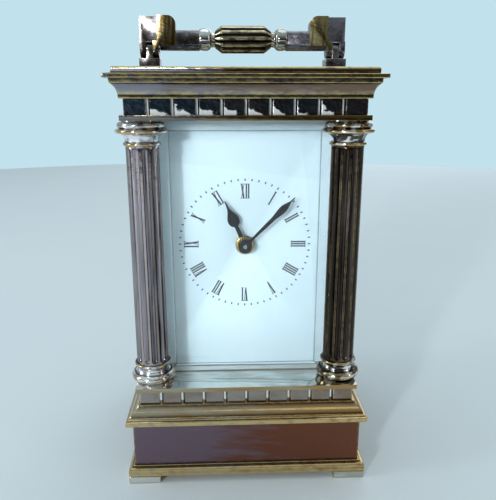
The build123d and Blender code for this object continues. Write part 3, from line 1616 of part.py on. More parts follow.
# Train cock: one bridge over the escape and lever pivots
with BuildPart() as train_cock:
    foot_px, foot_py = train_cock_foot
    with BuildSketch(level_plane(0, 0, cock_z)):
        with Locations(((ex + lever_x) / 2, ey)):
            SlotOverall(pallet_reach + train_cock_width, train_cock_width)
        with Locations((foot_px, (ey + foot_py) / 2)):
            Rectangle(train_cock_foot_size, foot_py - ey + train_cock_foot_size)
        with Locations((ex, ey), (lever_x, ey)):
            Circle(escape_pivot + running, mode=Mode.SUBTRACT)
        with Locations(train_cock_foot):
            Circle(small_hole, mode=Mode.SUBTRACT)
    extrude(amount=cock_thickness)
    with BuildSketch(level_plane(foot_px, foot_py, platform_top)):
        Rectangle(train_cock_foot_size, train_cock_foot_size)
        Circle(small_hole, mode=Mode.SUBTRACT)
    extrude(amount=train_cock_rise)
keep(train_cock.part, "train_cock")

# Balance with its staff and roller; the roller pin ends just above the fork
balance_z = platform_top + balance_rise
with BuildPart() as balance_wheel:
    balance_plane = level_plane(balance_x, ey, balance_z)
    extrude(disc(balance_plane, balance_radius), amount=balance_thickness)
    windows = crossings(
        balance_plane,
        balance_hub_radius,
        balance_radius - balance_rim,
        balance_arms,
        wheel_arm_width,
        balance_arm_turn,
    )
    extrude(windows, amount=balance_thickness, mode=Mode.SUBTRACT)
    pivot_length = balance_cock_z + pivot_proud - pivot_z0
    extrude(disc(level_plane(balance_x, ey, pivot_z0), escape_pivot), amount=pivot_length)
    staff_length = balance_cock_z - cock_end_gap - staff_z
    extrude(disc(level_plane(balance_x, ey, staff_z), staff_radius), amount=staff_length)
    roller_z = lever_z + lever_thickness + roller_rise
    extrude(disc(level_plane(balance_x, ey, roller_z), roller_radius + roller_rim), amount=roller_thickness)
    pin_plane = level_plane(balance_x - roller_radius, ey, roller_z - roller_pin_reach)
    extrude(disc(pin_plane, roller_pin_radius), amount=roller_pin_reach + roller_thickness / 2)
    screw_z = balance_z + (balance_thickness - balance_screw_height) / 2
    with BuildSketch(level_plane(balance_x, ey, screw_z)):
        with PolarLocations(balance_radius + balance_screw_length / 4, balance_screws):
            Rectangle(balance_screw_length, balance_screw_width)
    extrude(amount=balance_screw_height)
keep(balance_wheel.part, "balance_wheel")

hairspring_z = balance_z + balance_thickness + hairspring_width
hairspring_end = hairspring_start + (hairspring_half_turns - 1) * hairspring_pitch / 2
with BuildPart() as hairspring:
    ribbon = spiral_face(
        level_plane(balance_x, ey, hairspring_z),
        hairspring_start,
        hairspring_pitch,
        hairspring_half_turns,
        hairspring_thickness,
    )
    extrude(ribbon, amount=hairspring_width)
keep(hairspring.part, "hairspring")

# Balance cock: foot behind the balance, arm over its staff, stud for the hairspring
with BuildPart() as balance_cock:
    cock_back = platform_back - balance_cock_back_gap
    foot_edge = ey + balance_radius + balance_cock_wheel_gap
    stud_x = balance_x + hairspring_end + hairspring_pitch / 2
    stud_y = ey + stud_offset
    stud_arm_start = balance_x + balance_cock_arm_width / 4
    stud_arm_end = stud_x + stud_size / 2
    with BuildSketch(level_plane(0, 0, balance_cock_z)):
        with Locations((balance_x, ey)):
            Circle(balance_cock_end_radius)
        with Locations((balance_x, (ey + cock_back) / 2)):
            Rectangle(balance_cock_arm_width, cock_back - ey)
        with Locations(((stud_arm_start + stud_arm_end) / 2, stud_y)):
            Rectangle(stud_arm_end - stud_arm_start, stud_arm_width)
        with Locations((balance_x, ey)):
            Circle(escape_pivot + running, mode=Mode.SUBTRACT)
        with Locations(balance_cock_foot):
            Circle(small_hole, mode=Mode.SUBTRACT)
    extrude(amount=cock_thickness)
    with BuildSketch(level_plane(0, 0, platform_top)):
        with Locations((balance_x, (foot_edge + cock_back) / 2)):
            Rectangle(balance_cock_foot_width, cock_back - foot_edge)
        with Locations(balance_cock_foot):
            Circle(small_hole, mode=Mode.SUBTRACT)
    extrude(amount=balance_cock_rise)
    with BuildSketch(level_plane(stud_x, stud_y, hairspring_z)):
        Rectangle(stud_size, stud_size)
    extrude(amount=balance_cock_z + cock_thickness - hairspring_z)
    seat_plane = level_plane(balance_x, ey, balance_cock_z + cock_thickness)
    extrude(disc(seat_plane, index_bore - running, escape_pivot + running), amount=index_seat_height)
keep(balance_cock.part, "balance_cock")

with BuildPart() as regulator_index:
    index_z = balance_cock_z + cock_thickness + index_gap
    with BuildSketch(level_plane(balance_x, ey, index_z)):
        with Locations((0, -index_length / 2)):
            Rectangle(index_width, index_length)
        Circle(index_ring_radius)
        Circle(index_bore, mode=Mode.SUBTRACT)
    extrude(amount=index_thickness)
keep(regulator_index.part, "regulator_index")

# Movement screws: pillars, platform corners, cocks and the click
front_screws = [dial_plane(x, front_plate_y, z) for x, z in pillar_points]
back_screws = [across_plane(x, back_plate_back, z) for x, z in pillar_points]
corner_screws = [level_plane(x, y, platform_top) for x, y in platform_corners]
cock_screws = [
    level_plane(*train_cock_foot, cock_z + cock_thickness),
    level_plane(*balance_cock_foot, balance_cock_z + cock_thickness),
]
click_screw = [across_plane(click_x, click_y + ratchet_thickness + click_screw_gap, click_z)]
keep(
    slotted_screws(
        front_screws + back_screws + corner_screws + cock_screws + click_screw,
        small_screw_radius, small_screw_head, small_screw_head_height, small_screw_length,
    ),
    "movement_screws",
)

os.makedirs("parts", exist_ok=True)
for piece in pieces:
    export_step(piece, f"parts/{piece.label}.step")
print(f"{len(pieces)} pieces, {case_top:.2f} mm to the top plate")
print(f"least gap in the mainspring {spring_pitch - spring_thickness:.2f} mm")
print(f"least gap in the hairspring {hairspring_pitch - hairspring_thickness:.2f} mm")
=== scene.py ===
"""Miniature carriage clock: the looks of its case, handle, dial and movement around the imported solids.

Sizes in the classes are millimetres. The dial looks towards -Y, +Z is up, and the origin is the
middle of the footprint on the surface that the clock stands on.
"""

import logging
import math
from collections.abc import Callable
from dataclasses import dataclass
from enum import Enum

import bmesh
import bpy
from mathutils import Matrix, Vector


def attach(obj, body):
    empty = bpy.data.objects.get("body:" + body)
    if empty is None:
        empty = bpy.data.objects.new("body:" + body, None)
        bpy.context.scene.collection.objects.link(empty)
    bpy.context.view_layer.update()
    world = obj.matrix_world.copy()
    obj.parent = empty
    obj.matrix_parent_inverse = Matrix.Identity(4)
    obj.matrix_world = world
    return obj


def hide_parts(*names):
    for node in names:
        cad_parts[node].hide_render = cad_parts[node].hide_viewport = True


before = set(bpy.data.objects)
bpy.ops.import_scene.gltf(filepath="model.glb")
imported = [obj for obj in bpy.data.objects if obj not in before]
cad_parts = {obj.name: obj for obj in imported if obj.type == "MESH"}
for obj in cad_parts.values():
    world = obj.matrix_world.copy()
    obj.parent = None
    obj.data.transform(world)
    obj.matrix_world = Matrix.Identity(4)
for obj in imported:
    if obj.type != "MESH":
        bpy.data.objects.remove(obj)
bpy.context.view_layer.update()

MM = 0.001
LOG = logging.getLogger("carriage_clock")

Point2 = tuple[float, float]
Point3 = tuple[float, float, float]
Point4 = tuple[float, float, float, float]
Socket = bpy.types.NodeSocket
Material = bpy.types.Material
Mesh = bpy.types.Mesh
Piece = bpy.types.Object


class Body(str, Enum):
    """The moving bodies that pieces ride on."""

    CASE = "case"
    HANDLE = "handle"
    DOOR = "door"
    CATCH = "catch"
    HOUR = "hour"
    MINUTE = "minute"


class Slot(str, Enum):
    """The record's material slots."""

    PLATE = "silver_plate"
    BRASS = "movement_brass"
    GLASS = "bevelled_glass"
    STEEL = "steel"
    BLUED = "blued_steel"
    ENAMEL = "enamel"


def linear(code: str) -> Point4:
    """Turn an sRGB hex colour into the linear colour that a socket takes.

    Args:
        code: A colour such as "#d8d3c7".

    Returns:
        Linear red, green, blue and an alpha of one.
    """
    parts = [int(code[i : i + 2], 16) / 255 for i in (1, 3, 5)]
    red, green, blue = (c / 12.92 if c <= 0.04045 else ((c + 0.055) / 1.055) ** 2.4 for c in parts)
    return (red, green, blue, 1.0)


MATH = "ShaderNodeMath"
RANGE = "ShaderNodeMapRange"
MIX = "ShaderNodeMix"
BUMP = "ShaderNodeBump"
MARK = "ShaderNodeAttribute"
TURN = "ShaderNodeMapping"
AXES = "ShaderNodeSeparateXYZ"
VECTOR = "ShaderNodeCombineXYZ"
PRINCIPLED = "ShaderNodeBsdfPrincipled"
OUTPUT = "ShaderNodeOutputMaterial"


class Nodes:
    """A node tree that materials, shapes and the room are built in."""

    def __init__(self, tree: bpy.types.NodeTree) -> None:
        """Work on a tree."""
        self.tree = tree

    def add(
        self, kind: str, inputs: dict | tuple = (), output: int | str = 0, **settings: object
    ) -> Socket | None:
        """Add a node with its settings and links.

        Args:
            kind: The node's type name.
            inputs: Values or sockets for its inputs, in order or by name or index. A list of
                sockets goes to one input together.
            output: Name or index of the output that is wanted.
            settings: Properties of the node itself.

        Returns:
            The wanted output, or nothing from a node that has none.
        """
        node = self.tree.nodes.new(kind)
        for name, value in settings.items():
            setattr(node, name, value)
        for key, value in inputs.items() if isinstance(inputs, dict) else enumerate(inputs):
            for source in value if isinstance(value, list) else [value]:
                if isinstance(source, Socket):
                    self.tree.links.new(source, node.inputs[key])
                else:
                    node.inputs[key].default_value = source
        return node.outputs[output] if len(node.outputs) else None


class MaterialNodes(Nodes):
    """The nodes of one new material."""

    def __init__(self, name: str) -> None:
        """Start a material with an empty tree."""
        self.material = bpy.data.materials.new(name)
        self.material.use_nodes = True
        super().__init__(self.material.node_tree)
        self.tree.nodes.clear()
        self.place = self.add("ShaderNodeTexCoord", output="Object")

    def pattern(
        self, size: Point3, detail: float = 2.0, turn: Point3 = (0, 0, 0), rough: float = 0.55
    ) -> Socket:
        """Noise in the object's own coordinates, turned and then scaled.

        Args:
            size: Length of one blotch along X, Y and Z, in millimetres.
            detail: Octaves of finer noise.
            turn: Rotation of the pattern, in radians.
            rough: Weight of the finer octaves.

        Returns:
            The noise value's socket.
        """
        turned = self.add(TURN, {"Vector": self.place, "Rotation": turn}, vector_type="TEXTURE")
        scaled = self.add(TURN, {"Vector": turned, "Scale": tuple(1 / (s * MM) for s in size)})
        noise = {"Vector": scaled, "Scale": 1.0, "Detail": detail, "Roughness": rough}
        return self.add("ShaderNodeTexNoise", noise)


@dataclass(frozen=True)
class PlateFinish:
    """Silver electroplate over cast brass, hand polished for decades.

    To the eye: a soft mirror, toned in uneven patches, with brass showing where cloths rub the edges
    and dark tarnish left in the corners that they don't reach. Light is painted in as well:
    painted highlights in bright patches, painted shade on one side of the clock, and painted
    shade in the tarnish's colour on groove floors, between the grip's reeds and on the columns' far sides.
    """

    name: str
    clean: str
    toned: str
    rubbed: str = "#c6a25e"
    # Dark colour for tarnish and for painted shade
    tarnish_and_shade: str = "#2a2422"
    # Colour of the painted highlights
    gleam: str = "#f4f6f5"
    toning: float = 0.6
    toning_start: float = 0.42
    toning_width: float = 0.22
    cloud: Point3 = (11.0, 11.0, 4.0)
    painted_side_shade: float = 0.18
    painted_side_shade_reach: float = 26.0
    rubbing: float = 0.75
    tarnish_and_shade_strength: float = 0.8
    tarnish_and_shade_patches: Point3 = (1.6, 1.6, 0.8)
    painted_highlight_metal: float = 1.0
    roughness: float = 0.16
    scratch: float = 0.05
    ripple: float = 0.12

    def build(self) -> Material:
        """Make the material.

        Returns:
            The finished material.
        """
        nodes = MaterialNodes(self.name)
        add = nodes.add
        reach, start = self.painted_side_shade_reach * MM, self.toning_start
        # Random toning plus painted shade: the plate is toned more towards +X for a positive side shade and
        # more towards -X for a negative one
        across = add(AXES, (nodes.place,), "X")
        side_shade_ramp = add(RANGE, (across, -reach, reach, -self.painted_side_shade, self.painted_side_shade))
        toning_and_side_shade = add(MATH, (nodes.pattern(self.cloud, 4.0, (0.0, 0.05, 0.0), 0.6), side_shade_ramp), operation="ADD")
        tone = add(RANGE, (toning_and_side_shade, start, start + self.toning_width, 0.0, self.toning))
        # Painted highlights: bright patches laid where a face would catch a glint of light
        gleam = add(MARK, output="Fac", attribute_name="gleam")
        blotch = add(MATH, (gleam, nodes.pattern((2.4, 2.4, 1.7))), operation="ADD")
        bright = add(RANGE, (blotch, 1.02, 1.1, 0.0, 1.0))
        # Wear on the edges, and the hollow mark's dark colour: tarnish in the corners, with painted shade on
        # groove floors, between the grip's reeds and on the columns' far sides; each broken up by its own
        # noise
        wear = add(MARK, output="Fac", attribute_name="wear")
        rub_noise = add(RANGE, (nodes.pattern((2.2, 2.2, 1.2), 3.0), 0.3, 0.62, 0.15, 1.0))
        rub = add(MATH, (wear, rub_noise), operation="MULTIPLY")
        hollow = add(MARK, output="Fac", attribute_name="hollow")
        tarnish_and_shade_noise = add(RANGE, (nodes.pattern(self.tarnish_and_shade_patches, 3.0), 0.25, 0.6, 0.35, 1.0))
        tarnish_and_shade_patches = add(MATH, (hollow, tarnish_and_shade_noise), operation="MULTIPLY")
        colour = linear(self.clean)
        for share, layer in (
            (tone, self.toned),
            (bright, self.gleam),
            (add(RANGE, (rub, 0.12, 0.7, 0.0, self.rubbing)), self.rubbed),
            (add(RANGE, (tarnish_and_shade_patches, 0.1, 0.8, 0.0, self.tarnish_and_shade_strength)), self.tarnish_and_shade),
        ):
            colour = add(MIX, {0: share, 6: colour, 7: linear(layer)}, 2, data_type="RGBA")
        # Polishing scratches: long fine lines, drawn coarser than real so that they show
        lines = nodes.pattern((5.0, 5.0, 0.22), turn=(0.0, 0.32, 0.2))
        cross_lines = nodes.pattern((0.3, 0.3, 4.0), turn=(0.2, -0.5, 0.0))
        scratches = add(MATH, (lines, cross_lines), operation="ADD")
        smooth, dull = self.roughness - self.scratch, self.roughness + 1.6 * self.scratch
        waves = nodes.pattern((3.2, 3.2, 2.6), 1.0)
        wavy = add(BUMP, {"Strength": self.ripple, "Distance": 0.5 * MM, "Height": waves})
        fine = {"Strength": 0.1, "Distance": 0.03 * MM, "Height": scratches, "Normal": wavy}
        shader = {
            "Base Color": colour,
            "Metallic": add(RANGE, (bright, 0.0, 1.0, 1.0, self.painted_highlight_metal)),
            "Roughness": add(RANGE, (scratches, 0.75, 1.3, smooth, dull)),
            "Normal": add(BUMP, fine),
        }
        add(OUTPUT, {"Surface": add(PRINCIPLED, shader)})
        return nodes.material


@dataclass(frozen=True)
class TurnedMetal:
    """Cut and grained clockwork metal: gilt brass, bright steel or heat-blued steel.

    To the eye: a satin sheen with fine straight graining from emery, and a little oil in it.
    """

    name: str
    colour: str
    aged: str
    roughness: float
    grain: Point3 = (0.25, 6.0, 6.0)

    def build(self) -> Material:
        """Make the material.

        Returns:
            The finished material.
        """
        nodes = MaterialNodes(self.name)
        age = nodes.add(RANGE, (nodes.pattern((5.0, 5.0, 5.0), 4.0), 0.42, 0.68, 0.0, 0.8))
        mixed = {0: age, 6: linear(self.colour), 7: linear(self.aged)}
        grain = nodes.pattern(self.grain, 3.0)
        shader = {
            "Base Color": nodes.add(MIX, mixed, 2, data_type="RGBA"),
            "Metallic": 1.0,
            "Roughness": nodes.add(RANGE, (grain, 0.3, 0.7, self.roughness - 0.05, self.roughness + 0.09)),
            "Normal": nodes.add(BUMP, {"Strength": 0.16, "Distance": 0.02 * MM, "Height": grain}),
        }
        nodes.add(OUTPUT, {"Surface": nodes.add(PRINCIPLED, shader)})
        return nodes.material


@dataclass(frozen=True)
class FiredEnamel:
    """White vitreous enamel fired on a copper plate, or the ink fired into it.

    To the eye: a clean cool white under a glassy skin with a faint orange-peel ripple.
    """

    name: str
    colour: str
    shade: str
    roughness: float = 0.14
    coat: float = 0.5

    def build(self) -> Material:
        """Make the material.

        Returns:
            The finished material.
        """
        nodes = MaterialNodes(self.name)
        cloud = nodes.add(RANGE, (nodes.pattern((14.0, 14.0, 14.0), 3.0), 0.35, 0.7, 0.0, 1.0))
        mixed = {0: cloud, 6: linear(self.colour), 7: linear(self.shade)}
        peel = {"Strength": 0.05, "Distance": 0.03 * MM, "Height": nodes.pattern((0.9, 0.9, 0.9), 1.0)}
        shader = {
            "Base Color": nodes.add(MIX, mixed, 2, data_type="RGBA"),
            "Roughness": self.roughness,
            "IOR": 1.5,
            "Coat Weight": self.coat,
            "Coat Roughness": 0.05,
            "Normal": nodes.add(BUMP, peel),
        }
        nodes.add(OUTPUT, {"Surface": nodes.add(PRINCIPLED, shader)})
        return nodes.material


@dataclass(frozen=True)
class PolishedGlass:
    """Polished plate glass with ground and polished bevels.

    To the eye: clear, with a faint green body, bright bevels and a few wiping marks.
    """

    name: str = "polished_plate_glass"
    colour: str = "#fafdfd"
    clearness: float = 1.0
    shadow: str = "#f6fafb"

    def build(self) -> Material:
        """Make the material; light for shadows passes straight through.

        Returns:
            The finished material.
        """
        nodes = MaterialNodes(self.name)
        smear = nodes.pattern((9.0, 9.0, 16.0), 4.0, (0.0, 0.5, 0.0))
        glass = {
            "Base Color": linear(self.colour),
            "Roughness": nodes.add(RANGE, (smear, 0.5, 0.8, 0.0, 0.035)),
            "IOR": 1.5,
            "Specular IOR Level": 0.25,
            "Transmission Weight": self.clearness,
        }
        clear = nodes.add("ShaderNodeBsdfTransparent", {"Color": linear(self.shadow)})
        shadow = nodes.add("ShaderNodeLightPath", output="Is Shadow Ray")
        either = nodes.add("ShaderNodeMixShader", (shadow, nodes.add(PRINCIPLED, glass), clear))
        nodes.add(OUTPUT, {"Surface": either})
        return nodes.material


@dataclass(frozen=True)
class PaintedBoard:
    """Matt pale paint, for the floor that the clock stands on."""

    name: str = "pale_floor"
    colour: str = "#e4ebec"
    mottle: str = "#dfe7e9"

    def build(self) -> Material:
        """Make the material.

        Returns:
            The finished material.
        """
        nodes = MaterialNodes(self.name)
        cloud = nodes.pattern((40.0, 40.0, 40.0), 3.0)
        mixed = {0: cloud, 6: linear(self.colour), 7: linear(self.mottle)}
        colour = nodes.add(MIX, mixed, 2, data_type="RGBA")
        shader = {"Base Color": colour, "Roughness": 0.75, "Specular IOR Level": 0.2}
        nodes.add(OUTPUT, {"Surface": nodes.add(PRINCIPLED, shader)})
        return nodes.material


class Palette:
    """Every finish on the clock, made once and shared by the pieces."""

    def __init__(self) -> None:
        """Build the materials."""
        self.plinth = PlateFinish(
            "plated_brass_purple_toned", "#786570", "#774a39", "#b59a68", roughness=0.2, ripple=0.2,
            toning=1.0, toning_start=0.33, toning_width=0.26, cloud=(17.0, 17.0, 2.6), painted_side_shade=0.3,
        ).build()
        self.moulding = PlateFinish(
            "plated_brass_moulding", "#b5a68c", "#ad8856", "#dabd86", rubbing=0.9,
            toning=0.95, toning_start=0.36, cloud=(13.0, 13.0, 1.6),
        ).build()
        self.cornice = PlateFinish(
            "plated_brass_cornice", "#93909a", "#7d634b", "#cdbb85", rubbing=0.95,
            toning=0.9, toning_start=0.36, cloud=(12.0, 12.0, 1.8),
        ).build()
        self.ledge = PlateFinish(
            "plated_brass_ledge", "#6d6a66", "#94794a", "#a5935c",
            toning=1.0, toning_start=0.34, cloud=(10.0, 10.0, 2.0), painted_side_shade=0.3,
        ).build()
        self.shelf = PlateFinish(
            "plated_brass_polished_shelf", "#dcdcd8", "#a8a595", cloud=(9.0, 3.0, 3.0),
            roughness=0.07, scratch=0.02, ripple=0.06,
        ).build()
        self.frieze = PlateFinish(
            "plated_brass_frieze_dark", "#415362", "#5b5250", "#d8d4c4", rubbing=0.55,
            toning=0.9, cloud=(12.0, 12.0, 6.0), roughness=0.2, painted_highlight_metal=0.25,
        ).build()
        self.base_frieze = PlateFinish(
            "plated_brass_frieze_brown", "#a0968f", "#8a7460", "#c9bd98", rubbing=0.6,
            toning=0.9, cloud=(12.0, 12.0, 6.0), roughness=0.2,
        ).build()
        self.column = PlateFinish(
            "plated_brass_column", "#b7adb3", "#4a3f35", "#c2a268", "#0d0b09", rubbing=0.95,
            toning=0.95, toning_start=0.36, cloud=(2.2, 2.2, 30.0), painted_side_shade=0.2,
            tarnish_and_shade_strength=0.98, tarnish_and_shade_patches=(1.4, 1.4, 20.0), roughness=0.14, painted_highlight_metal=0.8,
        ).build()
        # The handle is painted more toned on its left, as painted shade against the bright light from that
        # side
        self.handle = PlateFinish(
            "plated_brass_handle", "#98959b", "#5a534c", "#b9a56e", rubbing=0.7, roughness=0.22,
            toning=0.95, toning_start=0.4, cloud=(2.0, 2.0, 1.6), painted_side_shade=-0.12, ripple=0.22,
        ).build()
        # Crooks of the arms: a browner, brassier plate that paints in a brown reflection
        self.crook = PlateFinish(
            "plated_brass_crook", "#a39468", "#66502f", "#d9c27e", rubbing=0.8, roughness=0.2,
            toning=1.0, cloud=(0.7, 0.7, 9.0), painted_side_shade=-0.1,
        ).build()
        # Grip: the pale rubbed colour on the reed crests doubles as a painted highlight, the dark colour
        # between them as painted shade with tarnish
        self.grip = PlateFinish(
            "plated_brass_grip", "#6e6350", "#463d30", "#eadbb2", "#0c0a08", rubbing=1.0,
            toning=0.8, cloud=(6.0, 2.0, 2.0), tarnish_and_shade_strength=1.0, roughness=0.18,
        ).build()
        self.gilt = TurnedMetal("gilt_brass", "#cfa95c", "#bb9149", 0.26).build()
        self.steel = TurnedMetal("grained_steel", "#b4b6b8", "#7d7f82", 0.26).build()
        self.blued = TurnedMetal("blued_steel", "#070908", "#050705", 0.2, (2.0, 2.0, 2.0)).build()
        self.enamel = FiredEnamel("fired_white_enamel", "#e0f0f6", "#d8eaf2").build()
        self.ink = FiredEnamel("fired_ink", "#080c1a", "#0e1424", 0.35, 0.2).build()
        self.track_ink = FiredEnamel("fired_violet_ink", "#23285e", "#3a3f7c", 0.35, 0.2).build()
        self.glass = PolishedGlass().build()
        self.bevel = PolishedGlass("ground_glass_bevel", "#f4fbfd", 0.78).build()
        # Bevel ridges: a darker grey glass, a painted dark line standing in for what the ridge refracts
        self.ridge = PolishedGlass("glass_bevel_ridge", "#8fa3a8", 0.7).build()
        self.floor = PaintedBoard().build()


def hand_over(
    piece: Piece, body: Body, slot: Slot, replaced: tuple[str, ...] = (), *materials: Material
) -> None:
    """Give a finished piece its materials and its place in the frame.

    Args:
        piece: The finished object.
        body: The body that it moves with.
        slot: Not used.
        replaced: CAD nodes that it stands for.
        materials: Materials for its slots, in order.
    """
    for material in materials:
        piece.data.materials.append(material)
    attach(piece, body.value)
    if replaced:
        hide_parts(*replaced)
    LOG.info("%s: %d faces on %s", piece.name, len(piece.data.polygons), body.value)


def new_piece(name: str, mesh: Mesh | None = None) -> Piece:
    """Link a mesh to the scene as an object at the origin.

    Args:
        name: The object's name.
        mesh: Its mesh; an empty one is made if there is none.

    Returns:
        The object.
    """
    piece = bpy.data.objects.new(name, bpy.data.meshes.new(name) if mesh is None else mesh)
    bpy.context.scene.collection.objects.link(piece)
    return piece


def realise(piece: Piece) -> None:
    """Turn a piece's modifiers into a plain mesh.

    Args:
        piece: The object with live modifiers.
    """
    graph = bpy.context.evaluated_depsgraph_get()
    shaped = piece.evaluated_get(graph)
    mesh = bpy.data.meshes.new_from_object(shaped, preserve_all_data_layers=True, depsgraph=graph)
    piece.modifiers.clear()
    piece.data = mesh


def face_outwards(mesh: Mesh, sharp: float) -> None:
    """Turn a mesh's faces outwards and shade it smooth.

    Args:
        mesh: The mesh.
        sharp: Angle in degrees past which an edge is shaded sharp.
    """
    drawn = bmesh.new()
    drawn.from_mesh(mesh)
    bmesh.ops.recalc_face_normals(drawn, faces=drawn.faces)
    drawn.to_mesh(mesh)
    drawn.free()
    mesh.shade_smooth()
    mesh.set_sharp_from_angle(angle=math.radians(sharp))


class Draft:
    """A mesh being drawn in millimetres, with the wear, tarnish, painted shade and painted highlight that each
    point carries.
    """

    def __init__(self) -> None:
        """Start an empty mesh."""
        self.points: list[Point3] = []
        self.faces: list[tuple[int, ...]] = []
        self.marks: dict[str, list[float]] = {"wear": [], "hollow": [], "gleam": []}

    def point(self, place: Point3, wear: float = 0.0, hollow: float = 0.0, gleam: float = 0.0) -> int:
        """Add a point and return its number."""
        self.points.append(place)
        for values, value in zip(self.marks.values(), (wear, hollow, gleam)):
            values.append(value)
        return len(self.points) - 1

    def circle(self, radius: float, count: int, place: Callable) -> list[int]:
        """Add a ring of points.

        Args:
            radius: Its radius.
            count: How many points it has.
            place: Function that turns a point's two coordinates into its place.

        Returns:
            The points' numbers.
        """
        turns = [math.tau * i / count for i in range(count)]
        return [self.point(place(radius * math.cos(a), radius * math.sin(a))) for a in turns]

    def bridge(self, first: list[int], second: list[int], closed: bool = True) -> None:
        """Join two rows of points with quads.

        Args:
            first: One row.
            second: The other row.
            closed: Whether the rows run round to their own starts.
        """
        for i in range(len(first) if closed else len(first) - 1):
            j = (i + 1) % len(first)
            self.faces.append((first[i], first[j], second[j], second[i]))

    def cap(self, ring: list[int]) -> None:
        """Close a ring of points with a fan about its middle.

        Args:
            ring: The points' numbers.
        """
        centre = self.point(tuple(sum(self.points[i][k] for i in ring) / len(ring) for k in range(3)))
        for i, start in enumerate(ring):
            self.faces.append((start, ring[(i + 1) % len(ring)], centre))

    def skin(self, rows: list[list[int]], closed: bool = True, capped: bool = False) -> None:
        """Join rows of points in order.

        Args:
            rows: The rows.
            closed: Whether each row runs round to its own start.
            capped: Whether the first and the last row are closed over.
        """
        for first, second in zip(rows, rows[1:]):
            self.bridge(first, second, closed)
        for ring in (rows[0], rows[-1]) if capped else ():
            self.cap(ring)

    def piece(self, name: str, sharp: float = 40.0) -> Piece:
        """Turn the draft into an object.

        Args:
            name: The piece's name.
            sharp: Angle in degrees past which an edge is shaded sharp.

        Returns:
            The new object, smooth shaded and facing outwards.
        """
        mesh = bpy.data.meshes.new(name)
        mesh.from_pydata([tuple(c * MM for c in p) for p in self.points], [], self.faces)
        for mark, values in self.marks.items():
            mesh.attributes.new(mark, "FLOAT", "POINT").data.foreach_set("value", values)
        face_outwards(mesh, sharp)
        return new_piece(name, mesh)


def arc(
    start: Point2, end: Point2, bulge: float, steps: int = 7, marks: tuple[float, ...] = (0.0,)
) -> list[tuple]:
    """Points on a circular arc between two points of a section, without its ends.

    Args:
        start: First end.
        end: Last end.
        bulge: Height of the arc over its chord; above zero it lies left of the way from start to end.
        steps: Number of spans.
        marks: Values that follow the two coordinates of each point.

    Returns:
        The points between the ends.
    """
    chord = math.dist(start, end)
    ux, uy = (end[0] - start[0]) / chord, (end[1] - start[1]) / chord
    radius = (chord**2 / 4 + bulge**2) / (2 * abs(bulge))
    half = math.asin(min(1.0, chord / 2 / radius))
    found = []
    for i in range(1, steps):
        angle = -half + 2 * half * i / steps
        along = chord / 2 + radius * math.sin(angle)
        off = math.copysign(radius * math.cos(angle) - radius + abs(bulge), bulge)
        found.append((start[0] + along * ux - off * uy, start[1] + along * uy + off * ux, *marks))
    return found


def soften(section: list[Point3], margin: float = 0.4) -> list[Point4]:
    """Round the corners of a section and mark how each point wears.

    Args:
        section: Points (out, up, radius), anticlockwise with out to the right; radius 0 stays as it is.
        margin: How far past a corner its wear fades out, in millimetres.

    Returns:
        Points (out, up, wear, hollow).
    """
    made: list[Point4] = []
    for i, (x, y, radius) in enumerate(section):
        if radius == 0:
            made.append((x, y, 0.0, 0.0))
            continue
        corner = Vector((x, y))
        before = Vector(section[i - 1][:2]) - corner
        after = Vector(section[(i + 1) % len(section)][:2]) - corner
        reach = min(radius, 0.45 * before.length, 0.45 * after.length)
        marks = (1.0, 0.0) if before.x * after.y - before.y * after.x < 0 else (0.0, 1.0)
        ends = [corner + side.normalized() * reach for side in (before, after)]
        fades = []
        for side in (before, after):
            roomy = side.length > 2.2 * (reach + margin)
            fades.append([(*(corner + side.normalized() * (reach + margin)), 0.0, 0.0)] if roomy else [])
        made += fades[0]
        for t in (0.0, 0.25, 0.5, 0.75, 1.0):
            made.append((*((1 - t) ** 2 * ends[0] + 2 * t * (1 - t) * corner + t**2 * ends[1]), *marks))
        made += fades[1]
    return made


def swept_frame(
    draft: Draft,
    section: list[Point4],
    half_width: float,
    half_depth: float,
    mitre: float = 0.22,
    worn: float = 0.45,
    step: float = 22.5,
) -> None:
    """Sweep a closed section round a rectangle with slightly softened mitres.

    Args:
        draft: The mesh that it is drawn into.
        section: Points (out, up, wear, hollow) measured from the rectangle.
        half_width: Half of the rectangle along X.
        half_depth: Half of the rectangle along Y.
        mitre: Radius of the softened mitres.
        worn: Least wear on a mitre that stands proud.
        step: Angle between the points of a mitre, in degrees.
    """
    rings = []
    for out, up, wear, hollow in section:
        edge = max(wear, worn) if wear > 0 or hollow == 0 else wear
        # Steps round the mitre, with a plain point half a millimetre before it and after it
        steps = [(0, -0.5, wear), *((k, 0.0, edge) for k in range(5)), (4, 0.5, wear)]
        ring = []
        for sx, sy, start in ((1, -1, -90.0), (1, 1, 0.0), (-1, 1, 90.0), (-1, -1, 180.0)):
            for k, along, mark in steps:
                angle = math.radians(start + step * k)
                cosine, sine = math.cos(angle), math.sin(angle)
                x = sx * (half_width + out - mitre) + mitre * cosine - along * sine
                y = sy * (half_depth + out - mitre) + mitre * sine + along * cosine
                ring.append(draft.point((x, y, up), mark, hollow))
        rings.append(ring)
    draft.skin(rings + rings[:1])


